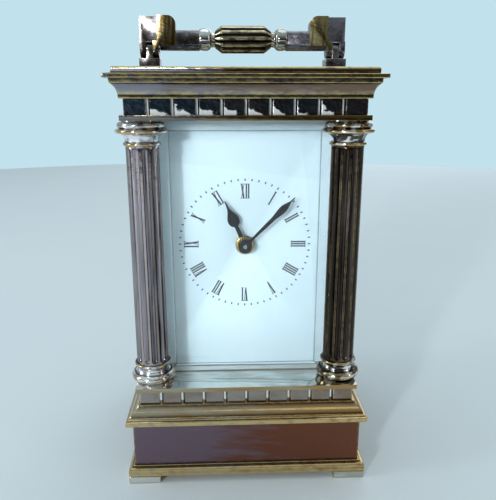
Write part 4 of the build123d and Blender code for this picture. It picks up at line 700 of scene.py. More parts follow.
def dressed(node: str, name: str, bevel: float, segments: int = 2, angle: float = 32.0) -> Piece:
    """A copy of a CAD node's mesh with its edges broken, as a file and a stone leave them.

    Args:
        node: The CAD node.
        name: Name of the new piece.
        bevel: Width of the broken edges, in millimetres.
        segments: Faces across a broken edge.
        angle: Smallest angle between faces, in degrees, whose edge is broken.

    Returns:
        The new object; its broken edges carry the wear mark.
    """
    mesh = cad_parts[node].data.copy()
    mesh.name = name
    mesh.materials.clear()
    drawn = bmesh.new()
    drawn.from_mesh(mesh)
    bmesh.ops.remove_doubles(drawn, verts=drawn.verts, dist=0.002 * MM)
    bmesh.ops.dissolve_limit(drawn, angle_limit=math.radians(1.0), verts=drawn.verts, edges=drawn.edges)
    for edge in drawn.edges:
        edge.smooth = True
    drawn.to_mesh(mesh)
    drawn.free()
    mesh.shade_smooth()
    for _ in range(2):
        mesh.materials.append(None)
    piece = new_piece(name, mesh)
    cut = piece.modifiers.new("broken_edges", "BEVEL")
    cut.width = bevel * MM
    cut.segments = segments
    cut.limit_method = "ANGLE"
    cut.angle_limit = math.radians(angle)
    cut.harden_normals = True
    cut.material = 1
    cut.use_clamp_overlap = True
    realise(piece)
    worn = [float(face.material_index == 1) for face in piece.data.polygons]
    piece.data.attributes.new("wear", "FLOAT", "FACE").data.foreach_set("value", worn)
    piece.data.materials.clear()
    piece.data.polygons.foreach_set("material_index", [0] * len(worn))
    return piece


class ShapeNodes(Nodes):
    """A Geometry Nodes tree with named inputs, run once on a piece."""

    def __init__(self, name: str, inputs: dict[str, float]) -> None:
        """Start the tree.

        Args:
            name: The tree's name.
            inputs: Each named input: a whole number is a count, any other a length in millimetres.
        """
        super().__init__(bpy.data.node_groups.new(name, "GeometryNodeTree"))
        panel = self.tree.interface
        panel.new_socket(name="Geometry", in_out="INPUT", socket_type="NodeSocketGeometry")
        self.values: dict[str, float] = {}
        for label, value in inputs.items():
            whole = isinstance(value, int)
            kind = "NodeSocketInt" if whole else "NodeSocketFloat"
            socket = panel.new_socket(name=label, in_out="INPUT", socket_type=kind)
            self.values[socket.identifier] = value if whole else value * MM
        panel.new_socket(name="Geometry", in_out="OUTPUT", socket_type="NodeSocketGeometry")
        self.inputs = self.tree.nodes.new("NodeGroupInput").outputs

    def run(self, piece: Piece, geometry: Socket, material: Material) -> None:
        """Finish the tree, run it on a piece and keep the result as a plain mesh.

        Args:
            piece: The object whose mesh goes in.
            geometry: The last geometry socket.
            material: The material that the tree sets.
        """
        whole = self.add("GeometryNodeRealizeInstances", {"Geometry": geometry})
        painted = self.add("GeometryNodeSetMaterial", {"Geometry": whole, "Material": material})
        self.add("NodeGroupOutput", (painted,))
        modifier = piece.modifiers.new(self.tree.name, "NODES")
        modifier.node_group = self.tree
        for identifier, value in self.values.items():
            modifier[identifier] = value
        realise(piece)


@dataclass
class Studio:
    """Pale floor, soft lights and the camera."""

    floor_radius: float = 700.0
    camera_at: Point3 = (-4.6732, -142.5144, 91.5467)
    yaw: float = 0.041479
    pitch: float = -0.267879
    roll: float = -0.000208
    focal: float = 544.956
    frame_height: float = 500.0
    sensor: float = 36.0

    def floor(self, palette: Palette) -> None:
        """Lay a round floor with an eased rim.

        Args:
            palette: The clock's finishes.
        """
        draft = Draft()
        rim = self.floor_radius
        rows = [
            draft.circle(radius, 72, lambda x, y: (x, y, height))
            for radius, height in ((60.0, 0.0), (250.0, 0.0), (rim, 0.0), (rim + 4, -4.0))
        ]
        draft.cap(rows[0])
        draft.skin(rows)
        floor = draft.piece("floor")
        floor.data.materials.append(palette.floor)

    def camera(self) -> None:
        """Set the camera at the photograph's angle."""
        data = bpy.data.cameras.new("camera")
        data.sensor_fit = "VERTICAL"
        data.sensor_height = self.sensor
        data.lens = self.focal / self.frame_height * self.sensor
        data.clip_start, data.clip_end = 0.005, 20
        camera = bpy.data.objects.new("camera", data)
        level = Vector((math.cos(self.yaw), -math.sin(self.yaw), 0.0))
        ahead = Vector((math.sin(self.yaw), math.cos(self.yaw), math.tan(self.pitch))) * math.cos(self.pitch)
        upright = level.cross(ahead)
        right = math.cos(self.roll) * level + math.sin(self.roll) * upright
        up = math.cos(self.roll) * upright - math.sin(self.roll) * level
        turn = Matrix((right, up, -ahead)).transposed()
        camera.matrix_world = Matrix.Translation(Vector(self.camera_at) * MM) @ turn.to_4x4()
        bpy.context.scene.collection.objects.link(camera)
        bpy.context.scene.camera = camera

    def lamp(
        self, name: str, place: Point3, size: Point2, power: float, colour: str, aim: Point3 = (0, 0, 55)
    ) -> None:
        """Hang one soft lamp.

        Args:
            name: The lamp's name.
            place: Where it hangs, in millimetres.
            size: Its width and height, in millimetres.
            power: Its power in watts.
            colour: Its colour.
            aim: The point that it faces.
        """
        data = bpy.data.lights.new(name, "AREA")
        data.shape = "RECTANGLE"
        data.size, data.size_y = (s * MM for s in size)
        data.energy = power
        data.color = linear(colour)[:3]
        lamp = bpy.data.objects.new(name, data)
        lamp.rotation_euler = (Vector(aim) - Vector(place)).to_track_quat("-Z", "Y").to_euler()
        lamp.location = Vector(place) * MM
        bpy.context.scene.collection.objects.link(lamp)

    def lights(self) -> None:
        """Window light from the left front, with soft fills."""
        self.lamp("window", (-420, -720, 230), (60, 90), 3.3, "#f3f9ff")
        self.lamp("left_strip", (-700, -120, 240), (130, 520), 1.3, "#eaf7ff")
        self.lamp("overhead", (60, 180, 800), (600, 600), 1.1, "#f2fbff", (0, 60, 0))
        self.lamp("right_strip", (560, -330, 200), (40, 520), 0.3, "#ffeccf")
        self.lamp("rear_sheet", (260, 760, 330), (600, 500), 1.0, "#eef8ff")

    def surroundings(self) -> None:
        """A pale room behind the clock and a dim one in front of it."""
        world = bpy.data.worlds.new("room")
        world.use_nodes = True
        bpy.context.scene.world = world
        world.node_tree.nodes.clear()
        nodes = Nodes(world.node_tree)
        way = nodes.add("ShaderNodeTexCoord", output="Generated")
        depth = nodes.add(RANGE, (nodes.add(AXES, (way,), "Y"), -0.85, 0.35, 0.0, 1.0))
        left = nodes.add(RANGE, (nodes.add(AXES, (way,), "X"), -1.0, 0.9, 1.0, 0.25))
        above = nodes.add(RANGE, (nodes.add(AXES, (way,), "Z"), 0.1, 0.75, 0.0, 0.75))
        behind = nodes.add(MATH, (depth, left), operation="MULTIPLY")
        share = nodes.add(MATH, (behind, above), operation="ADD")
        room = nodes.add(MIX, {0: share, 6: linear("#3b332e"), 7: linear("#bccdd6")}, 2, data_type="RGBA")
        seen = nodes.add("ShaderNodeLightPath", output="Is Camera Ray")
        shown = nodes.add(MIX, {0: seen, 6: room, 7: linear("#cbecf8")}, 2, data_type="RGBA")
        sky = nodes.add("ShaderNodeBackground", {"Color": shown, "Strength": 0.9})
        nodes.add("ShaderNodeOutputWorld", {"Surface": sky})

    def build(self, palette: Palette) -> None:
        """Set up the whole studio.

        Args:
            palette: The clock's finishes.
        """
        self.floor(palette)
        self.camera()
        self.lights()
        self.surroundings()
        bpy.context.scene.view_settings.view_transform = "Standard"


@dataclass
class Mouldings:
    """The rectangular frames of the case: plinth, cornice, friezes, ledges, top plate and feet."""

    half_width: float = 26.0
    half_depth: float = 23.4
    wall: float = 1.3
    band_z: float = 2.05
    plinth_z: float = 4.05
    lip_z: float = 15.85
    cyma_z: float = 16.98
    frieze_z: float = 20.18
    frieze_height: float = 3.4
    frieze_pitch: float = 5.2
    groove_width: float = 0.8
    groove_depth: float = 0.6
    block_ease: float = 0.12
    block_steps: int = 8
    corner_ease: float = 0.14
    top_frieze_z: float = 88.52
    cornice_z: float = 91.92

    def plinth(self, palette: Palette) -> None:
        """Bottom band, tall plain face, lip and cyma.

        Args:
            palette: The clock's finishes.
        """
        step_z, shelf_z = self.plinth_z + 0.4, self.cyma_z + 0.55
        low, waist, high = (2.5, shelf_z), (1.55, (shelf_z + self.frieze_z) / 2), (0.6, self.frieze_z)
        outline = [
            (-self.wall, self.band_z, 0.0),
            (3.25, self.band_z, 0.14),
            (3.25, self.plinth_z - 0.35, 0.12),
            (2.9, self.plinth_z, 0.12),
            (2.2, self.plinth_z, 0.1),
            (2.2, step_z, 0.12),
            (1.8, step_z, 0.1),
            (1.8, self.lip_z, 0.1),
            (3.3, self.lip_z, 0.14),
            (3.3, self.cyma_z - 0.05, 0.16),
            (2.85, self.cyma_z + 0.12, 0.08),
            (2.85, self.cyma_z + 0.5, 0.12),
            (*low, 0.0),
            *arc(low, waist, -0.2),
            (*waist, 0.0),
            *arc(waist, high, 0.2),
            (*high, 0.1),
            (-self.wall, self.frieze_z, 0.0),
        ]
        section = []
        for x, z, wear, hollow in soften(outline):
            rubbed = z < self.plinth_z or self.lip_z < z < self.cyma_z
            section.append((x, z, max(wear, 0.55 if rubbed else 0.0), hollow))
        draft = Draft()
        swept_frame(draft, section, self.half_width, self.half_depth)
        piece = draft.piece("base_mouldings")
        for face in piece.data.polygons:
            face.material_index = int(step_z + 0.05 < face.center.z / MM < self.lip_z - 0.02)
        hand_over(piece, Body.CASE, Slot.PLATE, ("base_plinth",), palette.moulding, palette.plinth)

    def cornice(self, palette: Palette) -> None:
        """Bed fillet, hollow, fillet and lip under the top plate.

        Args:
            palette: The clock's finishes.
        """
        bed, hollow_z, fillet_z, lip_z, slope_z, top_z = 0.85, 92.57, 94.97, 96.01, 96.86, 97.12
        outline = [
            (-self.wall, self.cornice_z, 0.0),
            (bed, self.cornice_z, 0.14),
            (bed, hollow_z, 0.1),
            *arc((bed, hollow_z), (2.08, fillet_z), 0.3),
            (2.08, fillet_z, 0.08),
            (2.3, fillet_z + 0.12, 0.1),
            (2.3, lip_z - 0.1, 0.1),
            (3.4, lip_z, 0.14),
            (3.4, slope_z, 0.14),
            (1.87, top_z, 0.05),
            (-self.wall, top_z, 0.0),
        ]
        section = []
        for x, z, wear, hollow in soften(outline):
            rubbed = 0.9 if z < hollow_z + 0.1 else 0.55 if lip_z - 0.2 < z < slope_z + 0.05 else 0.0
            section.append((x, z, max(wear, rubbed, 0.7 - 0.5 * (z - hollow_z)), hollow))
        draft = Draft()
        swept_frame(draft, section, self.half_width, self.half_depth)
        hand_over(draft.piece("cornice_moulding"), Body.CASE, Slot.PLATE, ("cornice",), palette.cornice)

    def block(self, width: float, depth: float, with_painted_highlight: bool) -> Draft:
        """One square frieze block, its face looking to -Y, centred on X.

        Args:
            width: Its width.
            depth: How far it goes back.
            with_painted_highlight: Whether its lower left corner gets a painted highlight.

        Returns:
            The block's mesh.
        """
        draft = Draft()
        ease, steps, tall = self.block_ease, self.block_steps, self.frieze_height

        def stations(length: float) -> list[float]:
            """Places along one side of the face, with the eased edges at both ends."""
            return [0.0, *(ease + (length - 2 * ease) * i / steps for i in range(steps + 1)), length]

        across, rise = stations(width), stations(tall)
        rows = []
        for z in rise:
            row = []
            for x in across:
                rim = float(x in (0.0, width) or z in (0.0, tall))
                # Painted highlight, strongest at the block's lower left corner and fading up and to the right
                bright = 0.86 - 0.42 * x / width - 0.66 * z / tall if with_painted_highlight else 0.0
                row.append(draft.point((x - width / 2, ease * (rim > 0), z), rim, 0.0, bright))
            rows.append(row)
        draft.skin(rows, closed=False)
        rim = rows[0] + [r[-1] for r in rows[1:]] + rows[-1][-2::-1] + [r[0] for r in rows[-2:0:-1]]
        back = [draft.point((draft.points[i][0], depth, draft.points[i][2]), 0.9) for i in rim]
        draft.bridge(rim, back)
        draft.cap(back)
        return draft

    def groove_strip(self) -> Draft:
        """The floor of one groove, with a painted highlight on its left and painted shade on its right,
        centred on X.
        """
        draft = Draft()
        low, high = 0.02, self.frieze_height - 0.02
        front = self.groove_depth - 0.05
        rings = []
        # Painted highlight over the left part of the floor, painted shade over the right part
        for share, gleam in ((0.0, 1.0), (0.5, 1.0), (0.66, 0.0), (1.0, 0.0)):
            x = (share - 0.5) * (self.groove_width + 0.1)
            corners = ((front, low), (front, high), (front + 0.1, high), (front + 0.1, low))
            rings.append([draft.point((x, y, z), 0.0, 1.0 - gleam, gleam) for y, z in corners])
        draft.skin(rings, capped=True)
        return draft

    def row(self, name: str, draft: Draft, extra: int, bottom: float, finish: Material) -> None:
        """Repeat a piece along all four sides of a frieze.

        Args:
            name: The new piece's name.
            draft: What is repeated, with its face looking to -Y.
            extra: How many more there are than blocks between the corners.
            bottom: Height of the frieze's underside.
            finish: Its material.
        """
        across = round(2 * self.half_width / self.frieze_pitch) - 2
        deep = round(2 * self.half_depth / self.frieze_pitch) - 2
        sizes = {
            "Number Across": across + extra,
            "Number Deep": deep + extra,
            "Pitch Across": self.frieze_pitch,
            "Pitch Deep": 2 * self.half_depth / (deep + 2),
            "Half Width": self.half_width,
            "Half Depth": self.half_depth,
            "Bottom": bottom,
        }
        nodes = ShapeNodes(name, sizes)
        add, inputs = nodes.add, nodes.inputs
        sides = []
        for turn, side, away in ((0.0, "Across", "Half Depth"), (90.0, "Deep", "Half Width")):
            count, gap = inputs[f"Number {side}"], inputs[f"Pitch {side}"]
            steps = add(MATH, (count, 1.0), operation="SUBTRACT")
            span = add(MATH, (steps, gap), operation="MULTIPLY")
            first = add(MATH, (span, -0.5), operation="MULTIPLY")
            back = add(MATH, (inputs[away], -1.0), operation="MULTIPLY")
            line = {
                "Count": count,
                "Start Location": add(VECTOR, (first, back, inputs["Bottom"])),
                "Offset": add(VECTOR, (gap,)),
            }
            copies = {"Points": add("GeometryNodeMeshLine", line), "Instance": inputs["Geometry"]}
            placed = add("GeometryNodeInstanceOnPoints", copies)
            whole = add("GeometryNodeRealizeInstances", {"Geometry": placed})
            for angle in (turn, turn + 180.0):
                turned = {"Geometry": whole, "Rotation": (0, 0, math.radians(angle))}
                sides.append(add("GeometryNodeTransform", turned))
        joined = add("GeometryNodeJoinGeometry", (sides,))
        piece = draft.piece(name)
        nodes.run(piece, joined, finish)
        hand_over(piece, Body.CASE, Slot.PLATE)

    def frieze(self, bottom: float, node: str, finish: Material, with_painted_highlight: bool) -> None:
        """A row of blocks round the case, parted by grooves, with square blocks at its corners.

        Args:
            bottom: Height of its underside.
            node: The CAD node that it stands for.
            finish: The blocks' material.
            with_painted_highlight: Whether the blocks get painted highlights.
        """
        block = self.block(self.frieze_pitch - self.groove_width, self.groove_depth + 0.3, with_painted_highlight)
        self.row(f"{node}_block_row", block, 0, bottom, finish)
        self.row(f"{node}_groove_row", self.groove_strip(), 1, bottom, finish)
        core = Draft()
        back, front, high = -self.wall, -self.groove_depth, bottom + self.frieze_height
        outline = [(back, bottom), (front, bottom), (front, high), (back, high)]
        swept_frame(core, [(x, z, 0.0, 1.0) for x, z in outline], self.half_width, self.half_depth)
        side_blocks = round(2 * self.half_depth / self.frieze_pitch)
        size = self.frieze_pitch - self.groove_width / 2
        deep = 2 * self.half_depth / side_blocks - self.groove_width / 2
        for sx in (-1, 1):
            for sy in (-1, 1):
                self.corner_block(core, sx, sy, size, deep, bottom)
        hand_over(core.piece(f"{node}_core"), Body.CASE, Slot.PLATE, (node,), finish)

    def corner_block(self, draft: Draft, sx: int, sy: int, width: float, depth: float, bottom: float) -> None:
        """A square block on one corner of a frieze.

        Args:
            draft: The mesh that it is drawn into.
            sx: Side along X.
            sy: Side along Y.
            width: Its width along X.
            depth: Its width along Y.
            bottom: Height of its underside.
        """
        ease, past = self.corner_ease, self.corner_ease + 0.3
        x0, x1 = self.half_width - width, self.half_width
        y0, y1 = self.half_depth - depth, self.half_depth
        top = bottom + self.frieze_height
        levels = ((ease, bottom, 1.0), (0.0, bottom + ease, 0.0), (0.0, top - ease, 0.0), (ease, top, 1.0))
        rings = []
        for inset, z, edge in levels:
            right, rear = x1 - inset, y1 - inset
            plan = [(x0, y0, 0.9), (right - ease, y0, 0.9), (right, y0 + ease, 1.0), (right, y0 + past, 0.0)]
            plan += [(right, y1 - past, 0.0), (right, rear - ease, 1.0), (right - ease, rear, 1.0)]
            plan += [(x1 - past, rear, 0.0), (x0 + past, rear, 0.0), (x0 + ease, rear, 1.0)]
            plan.append((x0, y1 - ease, 0.9))
            rings.append([draft.point((sx * x, sy * y, z), max(edge, worn)) for x, y, worn in plan])
        draft.skin(rings, capped=True)

    def plates(self, palette: Palette) -> None:
        """The flat plates and the feet, with their edges rubbed down.

        Args:
            palette: The clock's finishes.
        """
        for node, bevel, finish in (
            ("feet", 0.3, palette.shelf),
            ("base_plate", 0.2, palette.moulding),
            ("top_ledge", 0.2, palette.ledge),
            ("top_plate", 0.16, palette.cornice),
            ("door_rails", 0.15, palette.moulding),
        ):
            piece = dressed(node, f"{node}_plated", bevel)
            for face in piece.data.polygons:
                face.material_index = int(node == "base_plate" and face.normal.z > 0.9)
            hand_over(piece, Body.CASE, Slot.PLATE, (node,), finish, palette.shelf)

    def build(self, palette: Palette) -> None:
        """Make all the frames.

        Args:
            palette: The clock's finishes.
        """
        self.plinth(palette)
        self.cornice(palette)
        self.frieze(self.top_frieze_z, "top_frieze", palette.frieze, True)
        self.frieze(self.frieze_z, "base_frieze", palette.base_frieze, False)
        self.plates(palette)


# Each row of a turning: radius, height, wear and hollow; then, where a curve runs on to the next
# row, the curve's bulge, steps, wear and hollow
BASE_TURNING = (
    (4.3, 0.0, 0, 1),
    (4.58, 0.02, 0, 1, -0.7, 12, 0.5, 0),
    (4.58, 2.1, 0, 1),
    (4.3, 2.16, 0, 1),
    (4.28, 2.3, 0, 0.6, 0.3, 8, 0, 0.15),
    (4.12, 3.85, 0, 1),
    (4.16, 3.9, 0, 0.5, -0.28, 8, 0.8, 0),
    (4.16, 4.6, 0, 1),
    (3.86, 4.7, 0, 1),
)
CAPITAL_TURNING = (
    (3.72, 0.0, 0, 1),
    (3.87, 0.01, 0, 0.6, -0.36, 8, 0.7, 0),
    (3.87, 0.85, 0, 1),
    (3.75, 0.95, 0, 0.8, 0.3, 8, 0, 0.1),
    (4.8, 2.75, 0, 1),
    (5.5, 2.8, 0, 0.5, -0.38, 8, 0.7, 0),
    (5.5, 3.7, 0, 0.5),
    (4.85, 3.8, 0, 1, -0.5, 8, 0.4, 0),
    (4.85, 5.2, 0, 1),
    (4.4, 5.25, 0, 1),
    (4.4, 5.65, 0, 0),
)


@dataclass
class Columns:
    """Four turned columns with twelve flutes each."""

    spread_x: float = 23.2
    spread_y: float = 17.7
    floor_z: float = 24.68
    shaft_z: float = 29.38
    neck_z: float = 81.77
    bottom_radius: float = 3.86
    top_radius: float = 3.72
    flutes: int = 12
    flute_radius: float = 0.8
    flute_depth: float = 0.6
    flute_start: float = 30.53
    flute_end: float = 80.72
    land_half_angle: float = 0.196
    # Painted light: the turn of each column's painted lit side, and how strongly the left and right columns
    # are painted lit
    lit_side_turn: float = 14.0
    lit_share_left: float = 1.0
    lit_share_right: float = 0.45

    def painted_side_light(self, facing: float, hollow: float, shaft: bool, lit_share: float) -> Point2:
        """Painted light and shade on one spot of a column: the side that faces the light is painted brighter,
        the far side darker.

        Args:
            facing: Angle between the way the spot faces and the column's painted lit side, in radians.
            hollow: Tarnish and painted shade that its shape alone would get.
            shaft: Whether it lies on the fluted shaft.
            lit_share: How strongly this column is painted lit, from 0 to 1.

        Returns:
            The spot's tarnish with painted shade, and its painted highlight.
        """
        facing_light = max(0.0, math.cos(facing))
        if not shaft:
            return hollow * (1.0 - 0.35 * facing_light), 0.5 + 0.1 * facing_light * lit_share
        light_lobe = lit_share * facing_light**7
        return max(hollow * (1.0 - 0.45 * light_lobe), 0.5 - 0.65 * light_lobe), 0.0

    @staticmethod
    def turned(rows: tuple[tuple, ...], foot: float) -> list[Point4]:
        """Draw out a turning.

        Args:
            rows: Its table.
            foot: The height that it stands at.

        Returns:
            Points (radius, height, wear, hollow), from the foot up.
        """
        made = []
        for (radius, rise, wear, hollow, *curve), after in zip(rows, (*rows[1:], rows[-1])):
            made.append((radius, foot + rise, wear, hollow))
            if curve:
                bulge, steps, *marks = curve
                made += arc((radius, foot + rise), (after[0], foot + after[1]), bulge, steps, tuple(marks))
        return made

    def outline(self) -> list[Point4]:
        """Draw out the whole column.

        Returns:
            Points (radius, height, wear, hollow), from the foot up.
        """
        start, end, ball = self.flute_start, self.flute_end, self.flute_radius
        heights = [self.shaft_z + 0.2]
        heights += [start - ball * math.cos(math.radians(a)) for a in range(0, 90, 10)]
        heights += [start + (end - start) * i / 8 for i in range(9)]
        heights += [end + ball * math.sin(math.radians(a)) for a in range(10, 91, 10)]
        heights.append(self.neck_z - 0.08)
        slope = (self.top_radius - self.bottom_radius) / (self.neck_z - self.shaft_z)
        shaft = [(self.bottom_radius + slope * (z - self.shaft_z), z, 0, 0) for z in heights]
        return self.turned(BASE_TURNING, self.floor_z) + shaft + self.turned(CAPITAL_TURNING, self.neck_z)

    def column(self, x: float, y: float, node: str, finish: Material) -> None:
        """Draw one column.

        Args:
            x: Its axis along X.
            y: Its axis along Y.
            node: The CAD node that it stands for.
            finish: Its material.
        """
        draft = Draft()
        # The side of each column that is painted as lit by the window light, and how strongly
        lit_side = math.radians(math.copysign(self.lit_side_turn, -x * y) + (-90 if y < 0 else 90))
        lit_share = self.lit_share_left if x < 0 else self.lit_share_right
        pitch = math.tau / self.flutes
        cutter = self.bottom_radius - self.flute_depth + self.flute_radius
        shares = (-1.0, -0.93, -0.8, -0.6, -0.35, 0.0, 0.35, 0.6, 0.8, 0.93, 1.0)
        rings = []
        for radius, z, wear, hollow in self.outline():
            # The flutes are cut by a ball that runs up the shaft, so their ends are round
            ball = self.flute_radius**2 - max(0.0, self.flute_start - z, z - self.flute_end) ** 2
            shaft = self.shaft_z + 0.1 < z < self.neck_z - 0.05
            half = self.land_half_angle
            if shaft and ball > 0:
                cosine = (cutter**2 + radius**2 - ball) / (2 * cutter * radius)
                half = math.acos(cosine) if abs(cosine) < 1 else 0.02
            spots = []
            for flute in range(self.flutes):
                middle = pitch * (flute + 0.5)
                for share in shares:
                    angle, away, dark = share * half, radius, hollow
                    room = ball - (cutter * math.sin(angle)) ** 2
                    if shaft and room > 0 and cutter * math.cos(angle) - math.sqrt(room) < radius:
                        away = cutter * math.cos(angle) - math.sqrt(room)
                        # Flutes painted darker towards their middles: tarnish and painted shade
                        dark = max(dark, 0.95 * (1 - abs(share)) ** 0.5)
                    spots.append((middle + angle, away, 0.6 if shaft and abs(share) == 1.0 else wear, dark))
                spots.append((middle + pitch / 2, radius, wear, hollow))
            ring = []
            for angle, away, worn, dark in spots:
                place = (x + away * math.cos(angle), y + away * math.sin(angle), z)
                marks = self.painted_side_light(angle - lit_side, dark, shaft, lit_share)
                ring.append(draft.point(place, worn, *marks))
            rings.append(ring)
        draft.skin(rings, capped=True)
        hand_over(draft.piece(f"{node}_turned", 38.0), Body.CASE, Slot.PLATE, (node,), finish)

    def build(self, palette: Palette) -> None:
        """Make the four columns.

        Args:
            palette: The clock's finishes.
        """
        for depth, sy in (("front", -1), ("rear", 1)):
            for side, sx in (("left", -1), ("right", 1)):
                self.column(sx * self.spread_x, sy * self.spread_y, f"column_{depth}_{side}", palette.column)


@dataclass
class Glazing:
    """The three fixed glasses, the top glass and the door's glass, all with softened bevels."""

    softening: float = 0.16
    least_angle: float = 6.0
    flat_slope: float = 0.9995

    def build(self, palette: Palette) -> None:
        """Make each pane from its solid, with every ridge polished round.

        Args:
            palette: The clock's finishes.
        """
        for node in ("front_glass", "left_glass", "right_glass", "top_glass", "door_glass"):
            pane = dressed(node, f"{node}_polished", self.softening, 3, self.least_angle)
            for face, ridge in zip(pane.data.polygons, pane.data.attributes["wear"].data):
                bevelled = max(abs(c) for c in face.normal) < self.flat_slope
                # Faces on the bevels' ridges get the darker ridge glass, a painted dark line
                face.material_index = 2 if ridge.value > 0.5 else int(bevelled)
            body = Body.DOOR if node == "door_glass" else Body.CASE
            hand_over(pane, body, Slot.GLASS, (node,), palette.glass, palette.bevel, palette.ridge)


@dataclass
class Handle:
    """Folding handle: lugs, arms, ferrules and a reeded grip on its rod."""

    grip_length: float = 13.6
    flat_length: float = 10.4
    radius: float = 3.2
    end_radius: float = 2.0
    reeds: int = 12
    reed_depth: float = 0.55
    reed_sides: int = 14
    grip_z: float = 105.89
    crook_start: float = 16.3
    crook_end: float = 20.75
    crook_z: float = 104.3

    def grip(self, palette: Palette) -> None:
        """The reeded barrel: a tube whose radius follows the reeds and the chamfered ends.

        Args:
            palette: The clock's finishes.
        """
        sizes = {
            "Reeds": self.reeds,
            "Length": self.grip_length,
            "Flat Length": self.flat_length,
            "Radius": self.radius,
            "End Radius": self.end_radius,
            "Reed Depth": self.reed_depth,
        }
        nodes = ShapeNodes("reeded_grip", sizes)
        add, inputs = nodes.add, nodes.inputs
        tube = {
            "Vertices": add(MATH, (inputs["Reeds"], float(self.reed_sides)), operation="MULTIPLY"),
            "Side Segments": 48,
            "Radius": 1.0,
            "Depth": inputs["Length"],
        }
        shape = add("GeometryNodeMeshCylinder", tube)
        x, y, z = (add(AXES, (add("GeometryNodeInputPosition"),), axis) for axis in "XYZ")
        # Half a circle across each reed: lift is 1 on its crest and 0 between reeds
        angle = add(MATH, (y, x), operation="ARCTAN2")
        turns = add(MATH, (angle, inputs["Reeds"]), operation="MULTIPLY")
        reed = add(MATH, (add(MATH, (turns, math.tau), operation="DIVIDE"), 100.5), operation="ADD")
        saw = add(MATH, (add(MATH, (reed,), operation="FRACT"), 0.5), operation="SUBTRACT")
        square = add(MATH, (add(MATH, (saw, saw), operation="MULTIPLY"), 4.0), operation="MULTIPLY")
        fall = add(MATH, (square, 1.0), operation="MINIMUM")
        lift = add(MATH, (add(MATH, (1.0, fall), operation="SUBTRACT"),), operation="SQRT")
        dip = add(MATH, (1.0, lift), operation="SUBTRACT")
        taper = (
            add(MATH, (z,), operation="ABSOLUTE"),
            add(MATH, (inputs["Flat Length"], 0.5), operation="MULTIPLY"),
            add(MATH, (inputs["Length"], 0.5), operation="MULTIPLY"),
            inputs["Radius"],
            inputs["End Radius"],
        )
        cut = add(MATH, (dip, inputs["Reed Depth"]), operation="MULTIPLY")
        reach = add(MATH, (add(RANGE, taper), cut), operation="SUBTRACT")
        # The tube has a radius of one, so each place is scaled to its reach; the ends' middles stay
        squares = [add(MATH, (c, c), operation="MULTIPLY") for c in (x, y)]
        spoke = add(MATH, (add(MATH, tuple(squares), operation="ADD"),), operation="SQRT")
        outer = add(MATH, (reach, add(MATH, (spoke, 0.5), operation="GREATER_THAN")), operation="MULTIPLY")
        scale = add(MATH, (outer, add(MATH, (spoke, 0.001), operation="MAXIMUM")), operation="DIVIDE")
        across, up = (add(MATH, (c, scale), operation="MULTIPLY") for c in (x, y))
        # Between the reeds the hollow mark paints tarnish and painted shade; the crests are marked worn,
        # rubbed brass that also stands for a painted highlight
        for name, base, power in (("hollow", dip, 0.5), ("wear", lift, 9.0)):
            value = add(MATH, (base, power), operation="POWER")
            kept = {"Geometry": shape, "Name": name, "Value": value}
            shape = add("GeometryNodeStoreNamedAttribute", kept, data_type="FLOAT", domain="POINT")
        moved = {"Geometry": shape, "Position": add(VECTOR, (z, across, up))}
        shaped = add("GeometryNodeSetPosition", moved)
        piece = new_piece("handle_grip_reeded")
        nodes.run(piece, shaped, palette.grip)
        piece.data.transform(Matrix.Translation((0, 0, self.grip_z * MM)))
        face_outwards(piece.data, 50)
        hand_over(piece, Body.HANDLE, Slot.PLATE, ("handle_grip",))

    def build(self, palette: Palette) -> None:
        """Make the handle's pieces.

        Args:
            palette: The clock's finishes.
        """
        self.grip(palette)
        for node, body, bevel, slot, finish in (
            ("handle_lugs", Body.CASE, 0.25, Slot.PLATE, palette.handle),
            ("handle_arm_left", Body.HANDLE, 0.2, Slot.PLATE, palette.handle),
            ("handle_arm_right", Body.HANDLE, 0.2, Slot.PLATE, palette.handle),
            ("handle_ferrules", Body.HANDLE, 0.12, Slot.PLATE, palette.shelf),
            ("handle_pins", Body.HANDLE, 0.12, Slot.STEEL, palette.steel),
            ("handle_rod", Body.HANDLE, 0.12, Slot.STEEL, palette.steel),
        ):
            piece = dressed(node, f"{node}_dressed", bevel)
            for face in piece.data.polygons:
                x, _, z = face.center / MM
                # Faces on the arms' crooks take the crook finish, whose brown is a painted reflection
                crook = "arm" in node and self.crook_start < abs(x) < self.crook_end and z > self.crook_z
                face.material_index = int(crook)
            hand_over(piece, body, slot, (node,), finish, palette.crook)


@dataclass(frozen=True)
class Letter:
    """One letter of a numeral, measured across from its middle in millimetres.

    A stroke is its left and right foot, then its right and left head. A serif is its two ends.
    """

    width: float
    strokes: tuple[Point4, ...]
    feet: tuple[Point2, ...]
    heads: tuple[Point2, ...]


LETTERS = {
    "I": Letter(0.56, ((-0.17, 0.17, 0.17, -0.17),), ((-0.31, 0.31),), ((-0.31, 0.31),)),
    "V": Letter(1.2, ((-0.12, 0.14, 0.02, -0.44), (0.02, 0.14, 0.42, 0.27)), (), ((-0.6, 0.06), (0.1, 0.6))),
    "X": Letter(
        1.2,
        ((0.06, 0.46, -0.06, -0.46), (-0.4, -0.25, 0.4, 0.25)),
        ((-0.6, -0.1), (-0.02, 0.6)),
        ((-0.6, 0.02), (0.1, 0.6)),
    ),
}


